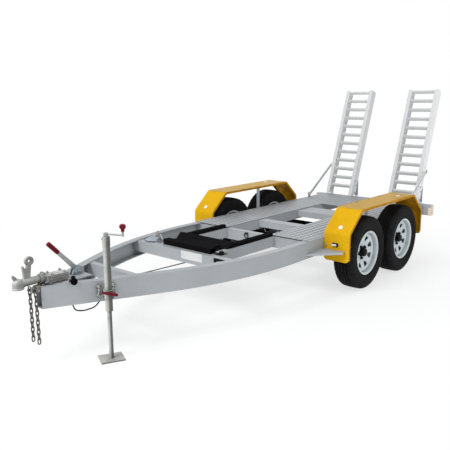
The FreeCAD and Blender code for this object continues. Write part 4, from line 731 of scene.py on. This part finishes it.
# Mudguards: round reflectors, marker lenses with screws, bolts, and the weld beads of steps and struts.
REFLECTOR = [(-1, 21.5), (2.5, 21.5), (4.5, 19.5), (5, 14), (3.8, 12), (5.5, 5), (5.6, 0.5)]
MARKER_SCREW = [(0, 2.6), (1.2, 2.6), (1.8, 1.6)]
FRONT_SLOPE = Vector((0.193, 0, 0.222)).normalized()
shape = Shape()
for side in WAYS:
    shape.turned(at(740, 820 * side, 635.7), FRONT_SLOPE, REFLECTOR)
    shape.turned(at(-359, 849 * side, 788), Z, REFLECTOR)
shape.finish("guard_reflectors", "reflector", smooth=40)
shape = Shape()
screws = Shape()
for side in WAYS:
    marker = at(801.5, 793 * side, 482)
    shape.box(marker + vec(-2, -21.5, -8.5), marker + vec(3.5, 21.5, 8.5))
    for offset in (-25.5, 25.5):
        screws.turned(marker + vec(-1, offset, 0), X, MARKER_SCREW, 12)
shape.finish("marker_lenses", "clear_lens", bevel=2)
screws.finish("marker_screws", "zinc", smooth=30)
shape = Shape()
for side in WAYS:
    for way in WAYS:
        for z in (470, 415):
            shape.nut(at(788 * way, 705 * side, z), X * way, 13, 8)
    for x in (-15, 15):
        for z in (470, 520):
            shape.nut(at(x, 687.2 * side, z), Y * side, 14, 9)
    for x in (-240, 0, 240):
        shape.nut(at(x, 700 * side, 788), Z, 12, 6, stub=0)
shape.finish("guard_bolts", "zinc", smooth=30)
shape = Shape()
for side in WAYS:
    y = 682.5 * side
    shape.bead(at(800, y, 435.5), at(1070, y, 435.5), 3.5)
    for x in (-25.5, 25.5):
        shape.bead(at(x, y, 430), at(x, y, 535))
shape.finish("step_welds", "frame_silver", smooth=60)

# Front crossmember: plate screws, tie-down ring, catch with its handle, gusset with nuts, and a black plate
# as painted shade in the opening at its end.
plate_low, plate_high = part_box("blank_plate")
shape = Shape()
for y in (plate_low.y + 18 * MM, plate_high.y - 18 * MM):
    shape.turned(Vector((plate_high.x - 0.3 * MM, y, (plate_low.z + plate_high.z) / 2)), X,
                 [(0, 4.5), (1.2, 4.5), (2.4, 2.8)], 16)
shape.finish("plate_screws", "zinc", smooth=30)
shape = Shape()
hook = at(1040.5, -13, 494)
shape.sweep(circle(hook + vec(12, 0, 0), Y * 21, Vector((6, 0, 26)), 1, 20), 4.5, closed=True)
shape.box(hook + vec(0, -16, 8), hook + vec(10, 16, 30))
shape.finish("tie_down_ring", "dark_steel", bevel=1, smooth=40)
catch = at(1825, 360, 531)
shape = Shape()
shape.box(catch + vec(-40, -30, 0), catch + vec(40, 30, 4))
shape.box(catch + vec(10, -90, 4), catch + vec(30, -20, 10))
shape.turned(catch + vec(12, 6, 3), Z, [(0, 25), (10, 25), (14, 20), (24, 19.5), (27, 14)], 28)
shape.finish("carrier_catch", "hub_black", bevel=0.8, smooth=40)
shape = Shape()
shape.sweep(points(catch, (-34, -22, 3), (-34, -20, 26), (-24, -2, 31), (-10, 20, 26), (-8, 24, 3)), 6.5, 12)
shape.finish("catch_handle", "zinc", smooth=40)
shape = Shape()
shape.nut(at(1822, -380, 541), Z, 26, 22, stub=0.6)
shape.plate(at(0, 0, 539.5), X, Y, [(1925, -420), (1900, -370), (1800, -355), (1665, -525), (1705, -575),
                                    (1900, -490)], 3)
shape.finish("corner_gusset", "gusset", bevel=0.8, smooth=30)
shape = Shape()
shape.nut(at(1690, -545, 540), Z, 30, 24, stub=0.4)
shape.nut(at(1742, -488, 541), Z, 28, 22, stub=0.5)
shape.finish("rail_bolts", "old_zinc", smooth=30)
# Black plate that paints the shade in the dark opening by the crossmember's end.
shape = Shape()
shape.plate(at(1950.5, 0, 0), Y, Z, [(384, 487), (420, 508), (512, 528.5), (512, 532.5), (384, 533.5)], 1.6)
shape.finish("crossmember_shade_plate", "hub_black", bevel=0.4)

# Carrier: the stop's folded cover and its weld beads.
carrier_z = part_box("carrier_frame")[0].z / MM
shape = Shape()
shape.box(at(1664, -262, carrier_z + 21), at(1819.5, 200, carrier_z + 24))
shape.box(at(1817, -262, carrier_z + 21.5), at(1819.6, 200, carrier_z + 34))
shape.finish("carrier_cover", "carrier_black", bevel=0.8)
shape = Shape()
for y in (294.5, -322.5):
    shape.bead(at(1673.5, y * 0.985, 531.5), at(1673.5, y * 0.5, 531.5))
shape.finish("carrier_welds", "carrier_black", smooth=60)

# Safety chains: round links, each turned a quarter from the last, on shackles and a lug.
LINKS, LINK_TOP, LINK_STEP, LINK_HALF, LINK_END, LINK_WIRE = 11, 504.3, 32.7, 11.5, 9.5, 4.3
chain = middle_of(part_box("chain_left"))
for label, side in SIDES:
    shape = Shape()
    for number in range(LINKS):
        across = Y if number % 2 else X
        middle = Vector((chain.x, chain.y * side, (LINK_TOP - LINK_STEP * number) * MM))
        line = []
        for half, start in ((LINK_HALF, 0), (-LINK_HALF, pi)):
            for index in range(9):
                angle = start + pi * index / 8
                step = across * (LINK_END * cos(angle)) + Z * (half + LINK_END * sin(angle))
                line.append(middle + step * MM)
        shape.sweep(line, LINK_WIRE, closed=True)
    shape.finish(f"chain_{label}_links", "chain_steel", smooth=60, stands_for=f"chain_{label}")
shape = Shape()
for side in WAYS:
    middle = Vector((chain.x, chain.y * side, 512 * MM))
    for way in WAYS:
        shape.turned(middle + vec(0, 12.5 * way, 4), Y * way, [(0, 10), (1.5, 10.5), (4.5, 10.5), (6, 9)], 6)
    shape.sweep(points(middle, (0, 15.5, 4), (0, 16.5, 18), (0, 10, 30), (0, -10, 30), (0, -16.5, 18),
                       (0, -15.5, 4)), 4.2)
shape.finish("chain_shackles", "chain_steel", smooth=40)
shape = Shape()
shape.box(at(3222, -18, 522), at(3284, 18, 552))
shape.box(at(3268, -34, 514), at(3292, 34, 528))
for y in (-24, 24):
    shape.nut(at(3280, y, 528), Z, 15, 10, stub=0.4)
shape.finish("chain_lug", "old_zinc", bevel=3, smooth=40)

# Coupling: castings with soft edges, flange, ribs and bolts.
BALL_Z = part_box("coupling_head")[0].z / MM + 35
FLANGE = [(52 * y, 40 * z) for y, z in ((1, -0.55), (1, 0.55), (0.62, 1), (-0.62, 1), (-1, 0.55), (-1, -0.55),
                                        (-0.62, -1), (0.62, -1))]
cast_copy("coupling_head_cast", "coupling_head", 1.6, 7)
cast_copy("coupling_housing_cast", "coupling_housing", 1.8, 6)
front = at(3206, 0, BALL_Z)
shape = Shape()
for y, z in ((36, 20), (-36, 20), (36, -22), (-36, -22)):
    shape.nut(front + vec(4, y, z), X, 14, 11, stub=0.5)
for x in (3070, 3165):
    for y in (30, -30):
        shape.nut(at(x, y, 605.5), Z, 15, 12, stub=0.4)
shape.finish("coupling_bolts", "plain_zinc", smooth=30)
shape = Shape()
shape.plate(front + vec(3, 0, -2), Y, Z, FLANGE, 10)
for x in (3218, 3232):
    shape.turned(at(x, 0, BALL_Z), X, [(0, 32.5), (1, 34.5), (5, 34.5), (6, 32.5)])
for y in (-42.5, 42.5):
    for z in (560, 578, 594):
        shape.box(at(3052, y - 2, z - 2.5), at(3198, y + 2, z + 2.5))
for x in (3080, 3110, 3140, 3170):
    shape.box(at(x - 2.5, -34, 604), at(x + 2.5, 34, 608.5))
shape.finish("coupling_ribs", "cast_zinc", bevel=2, smooth=40)

# Brake lever: bracket, ribbed grip, the boot below it and the drawbar plate's bolts.
LEVER_Y = -42
BRACKET = [(-12, -22), (50, -22), (56, 6), (46, 36), (20, 55), (-4, 52), (-14, 30)]
lever_way = Vector((0.230, 0, 0.239)).normalized()
grip_end = at(2909, LEVER_Y, 564) + lever_way * 0.3317
shape = Shape()
for y in (-58, -26):
    shape.plate(at(2918, y, 546), X, Z, BRACKET, 4)
shape.plate(at(2908, LEVER_Y, 556), Y, Z, [(-16, -18), (16, -18), (16, 14), (-16, 14)], 4)
for x, z in ((2916, 568), (2948, 566)):
    for way in WAYS:
        shape.nut(at(x, LEVER_Y + 18 * way, z), Y * way, 17, 9)
    shape.sweep([at(x, -60, z), at(x, -24, z)], 5.2, 12)
shape.finish("lever_bracket", "blue_zinc", bevel=0.8, smooth=30)
shape = Shape()
for back in (18, 32, 46, 60, 74, 88):
    shape.turned(grip_end - lever_way * (back * MM), lever_way, [(0, 15), (1.5, 17), (4.5, 17), (6, 15)], 28)
shape.turned(grip_end - lever_way * (4 * MM), lever_way, [(0, 15.5), (3, 15), (6, 11), (6.5, 4)], 28)
shape.finish("grip_ribs", "red_grip", smooth=40)
bush_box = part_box("lever_bush")
bush = middle_of(bush_box)
bush.y = bush_box[1].y
shape = Shape()
shape.turned(bush + vec(0, -18.5, 0), Y, [(0, 21), (2, 23.5), (6, 24.5), (10, 22.5), (12, 24), (16, 23.5),
                                          (19, 19), (20.5, 10), (21, 2)])
shape.turned(bush + vec(0, -30, 26), Y, [(0, 9), (4, 12.5), (20, 12.5), (24, 8)], 24)
shape.finish("bush_boot", "hose_rubber", smooth=40)
shape = Shape()
for x, y in ((3120, 50), (3190, 50), (3235, 30)):
    for side in WAYS:
        shape.nut(at(x, y * side, 546), Z, 15, 10, stub=0.5)
shape.finish("plate_bolts", "zinc", smooth=30)

# Jack: cap and seams of the tube, the clamp on the rail, grips, collar and the foot's weld.
CAP = [(0, 24.3), (0, 25), (0.4, 26.2), (59.5, 26.6), (62.5, 25.8), (63.5, 23), (64, 15), (62.5, 15),
       (61.5, 24.3)]
SEAM = [(0.2, 24.4), (0, 24.8), (0.8, 25.6), (4.2, 25.6), (5, 24.8), (4.8, 24.4)]
COLLAR = [(0, 24.6), (0, 32.5), (0.5, 35), (3.8, 35), (4.5, 32.5), (4.5, 24.6)]
U_BOLT = ((6, 452), (34, 452), (42, 462), (42, 480), (34, 488), (6, 488))
PULL_GRIP = [(-54.5, 2), (-54, 6.8), (-50, 8.5), (24, 9), (30, 10.8), (50, 11), (54.5, 8.5), (55, 2)]
KNOB = [(0, 10), (1, 12), (6, 12.5), (10, 11), (14, 11.8), (19, 16), (25, 20.5), (32, 21.8), (40, 21.2),
        (46, 18), (49.5, 11), (50, 1.5)]
RAIL_ANGLE, PULL_ANGLE, AXIS_OUT = radians(26), radians(16), 100
tube_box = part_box("jack_tube")
tube_top = tube_box[1].z / MM
jack = middle_of(tube_box)
jack.z = 0
rail_way = Vector((-cos(RAIL_ANGLE), sin(RAIL_ANGLE), 0))
rail_out = Vector((sin(RAIL_ANGLE), cos(RAIL_ANGLE), 0))


def on_rail(run, out, z):
    """Point by the jack's mount: along the rail, out from its face, and up."""
    return jack + (rail_way * run + rail_out * (out - AXIS_OUT) + Z * z) * MM


shape = Shape()
shape.turned(jack + vec(0, 0, tube_top - 62), Z, CAP, 40, ring=True)
for z in (640, 574, 520, 395, 353):
    shape.turned(jack + vec(0, 0, z), Z, SEAM, 40, ring=True)
crank_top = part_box("jack_crank")[1].z / MM
shape.turned(jack + vec(0, 0, crank_top - 30.5), Z, [(0, 15), (1, 16.8), (5, 16.8), (6, 15.2)], 6)
shape.sweep(points(jack, (21, -12, tube_top - 16), (26.5, -15, tube_top - 16)), 4, 12)
shape.finish("jack_rings", "zinc", body="jack", smooth=35)
shape = Shape()
for run in (-50, 50):
    for z in (440, 500):
        shape.nut(on_rail(run, 8, z), rail_out, 24, 20, stub=1.1)
    shape.sweep([on_rail(run, out, z) for out, z in U_BOLT], 6.2, 12)
shape.finish("jack_mount_bolts", "cast_zinc", smooth=35)
shape = Shape()
for run in (-52, 52):
    shape.plate(on_rail(run, 7.5, 0), rail_way, Z, [(-11, 428), (11, 428), (13, 512), (-13, 512)], 3)
shape.finish("clamp_strips", "gusset", bevel=0.6)
shape = Shape()
pull_way = rail_way * cos(PULL_ANGLE) - Z * sin(PULL_ANGLE)
shape.turned(middle_of(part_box("jack_pull_bar")), pull_way, PULL_GRIP, 24)
shape.finish("pull_bar_grip", "red_grip", body="jack", smooth=50)
shape = Shape()
for z in (439.5, 494.5):
    shape.turned(jack + vec(0, 0, z), Z, COLLAR, 40, ring=True)
for way in WAYS:
    shape.nut(on_rail(33.5 * way, AXIS_OUT, 456), rail_way * way, 17, 12, stub=0.6)
shape.finish("collar_rings", "zinc", body="jack", smooth=35)
shape = Shape()
shape.bead(jack + vec(17, 0, 10), jack + vec(0, 17, 10))
shape.sweep(circle(jack + vec(0, 0, 9.5), X, Y, 17.5, 24), 3.2, 8, closed=True)
shape.finish("jack_foot_weld", "zinc", body="jack_leg", smooth=60)
knob_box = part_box("jack_knob")
knob = middle_of(knob_box)
knob.z = knob_box[0].z
shape = Shape()
shape.turned(knob, Z, KNOB, 36)
shape.finish("jack_knob_turned", "red_grip", body="jack", smooth=60, stands_for="jack_knob")

# Ramps: dark plates at the feet as painted shade on the hinge plates, welds at the rungs, pin clips and hinge
# washers.
LEAN, HINGE_X, HINGE_Z = radians(19), -1530, 500
RUNGS, FIRST_RUNG, LAST_RUNG = 12, 130, 1383.5
RAMP_SHADE_PLATE = [(49, 238), (43, 238), (-17, 64), (-19, 42), (34, 46), (49, 46)]
lean_up = Vector((-sin(LEAN), 0, cos(LEAN)))
lean_face = Vector((cos(LEAN), 0, sin(LEAN)))


def on_ramp(rise, face, y):
    """Point by a ramp: up along it from the hinge, forward from it, and to the left."""
    return at(HINGE_X, y, HINGE_Z) + (lean_up * rise + lean_face * face) * MM


for label, side in SIDES:
    ramp = f"ramp_{label}"
    welds = Shape()
    for rung in range(RUNGS):
        rise = FIRST_RUNG + (LAST_RUNG - FIRST_RUNG) / (RUNGS - 1) * rung
        for y in (292.5, 571.5):
            welds.bead(on_ramp(rise - 10, 135, y * side), on_ramp(rise + 10, 148, y * side), 2.8, lumps=3)
    for y, way in ((618.5, side), (245.5, -side)):
        for rise, face in ((60, 75), (160, 75), (205, 120)):
            welds.nut(on_ramp(rise, face, y * side), Y * way, 14, 8)
    # Dark plates on the stringers at the feet: painted shade on the hinge plates.
    shape = Shape()
    for y in (618.7, 245.3):
        shape.plate(on_ramp(0, 0, y * side), lean_face, lean_up, RAMP_SHADE_PLATE, 1.2)
    shape.finish(f"ramp_shade_plates_{label}", "gusset", body=ramp)
    welds.finish(f"ramp_welds_{label}", "ramp_silver", body=ramp, smooth=40)
    shape = Shape()
    pin = on_ramp(407, 110, 653.5 * side)
    shape.turned(pin, Y * side, [(0, 12), (1.2, 14), (4, 14), (5.2, 12)], 24)
    shape.sweep(circle(pin + vec(0, 2.8 * side, -16), X, Z, 13, 12), 1.5, 8, closed=True)
    shape.finish(f"stay_pin_clips_{label}", "zinc", body=ramp, smooth=40)
    shape = Shape()
    for y in (610, 250):
        for way in WAYS:
            shape.turned(on_ramp(0, 0, (y + 16.5 * way) * side), Y * (way * side),
                         [(0, 14), (1, 15), (3.8, 15), (5, 13.5)], 24)
    shape.nut(at(-1050, 665.5 * side, 585), Y * side, 22, 14, stub=0.6)
    shape.finish(f"hinge_washers_{label}", "zinc", smooth=40)

# Rear: ribbed lenses of the tail lamps, and end caps of the bumper.
LENS_RIBS, LAMP_WIDTH, LAMP_RIM = 4, 80, 5
# Colour, look, slot and place above the lamp's foot, in thirds of its height.
LENSES = (("red", "lamp_red", "lamp_red", 1), ("amber", "amber_lens", "lamp_red", 2),
          ("clear", "clear_lens", "plate_white", 0))
lamp_low, lamp_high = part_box("tail_lamps")
third = (lamp_high.z - lamp_low.z) / 3
rib = (LAMP_WIDTH - 2 * LAMP_RIM) / LENS_RIBS
for label, side in SIDES:
    for colour, look, slot, index in LENSES:
        shape = Shape()
        foot = Vector((lamp_low.x, (lamp_high.y - LAMP_WIDTH * MM) * side, lamp_low.z + third * index))
        for row in range(LENS_RIBS):
            start = LAMP_RIM + rib * row
            shape.box(foot + vec(-3.5, start * side, 2.5),
                      foot + vec(2, (start + rib) * side, -2.5) + Z * third)
        shape.finish(f"tail_lens_{colour}_{label}", look, bevel=2)
bumper_low, bumper_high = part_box("rear_crossmember")
shape = Shape()
for side in WAYS:
    low = Vector((bumper_low.x, bumper_high.y * side, bumper_low.z))
    high = Vector((bumper_low.x, bumper_high.y * side, bumper_high.z))
    shape.box(low + vec(1, 0, 1), high + vec(64, 4 * side, -1))
    shape.box(low + vec(64.5, 0, 2), high + vec(66.5, -36 * side, -30))
shape.finish("bumper_caps", "warm_cap", bevel=1.5)

# Running gear: spring bolts, clamp plates, backing plates and shackle nuts.
SPRING_Y, BOLT_RUN, SHACKLE_RUN = 648, 29, 330
SPRING_BOLT = ((-BOLT_RUN, -62), (-BOLT_RUN, 31), (BOLT_RUN, 31), (BOLT_RUN, -62))
BACKING_PLATE = [(0, 34), (1, 60), (1.5, 118), (4.5, 122), (4.5, 34)]
shape = Shape()
plates = Shape()
for axle_x in (HALF_SPACING, -HALF_SPACING):
    for side in WAYS:
        for x in (axle_x - 36, axle_x + 36):
            shape.sweep([at(x, (SPRING_Y + run) * side, WHEEL_Z + rise) for run, rise in SPRING_BOLT], 5.5)
            for run in (-BOLT_RUN, BOLT_RUN):
                shape.nut(at(x, (SPRING_Y + run) * side, WHEEL_Z - 56.5), -Z, 17, 12)
        spring = at(axle_x, SPRING_Y * side, WHEEL_Z)
        plates.box(spring + vec(-55, -40, -57.5), spring + vec(55, 40, -50))
        plates.turned(at(axle_x, 706 * side, WHEEL_Z), Y * side, BACKING_PLATE, 40)
shape.finish("spring_bolts", "zinc", smooth=35)
plates.finish("spring_plates", "dark_steel", bevel=1.2, smooth=35)
shape = Shape()
for axle_x in (HALF_SPACING, -HALF_SPACING):
    for x in (axle_x + SHACKLE_RUN, axle_x - SHACKLE_RUN):
        for side in WAYS:
            for way in WAYS:
                shape.nut(at(x, (SPRING_Y + 28.7 * way) * side, 359.5), Y * (way * side), 20, 12, stub=0.5)
shape.finish("shackle_nuts", "dark_steel", smooth=30)
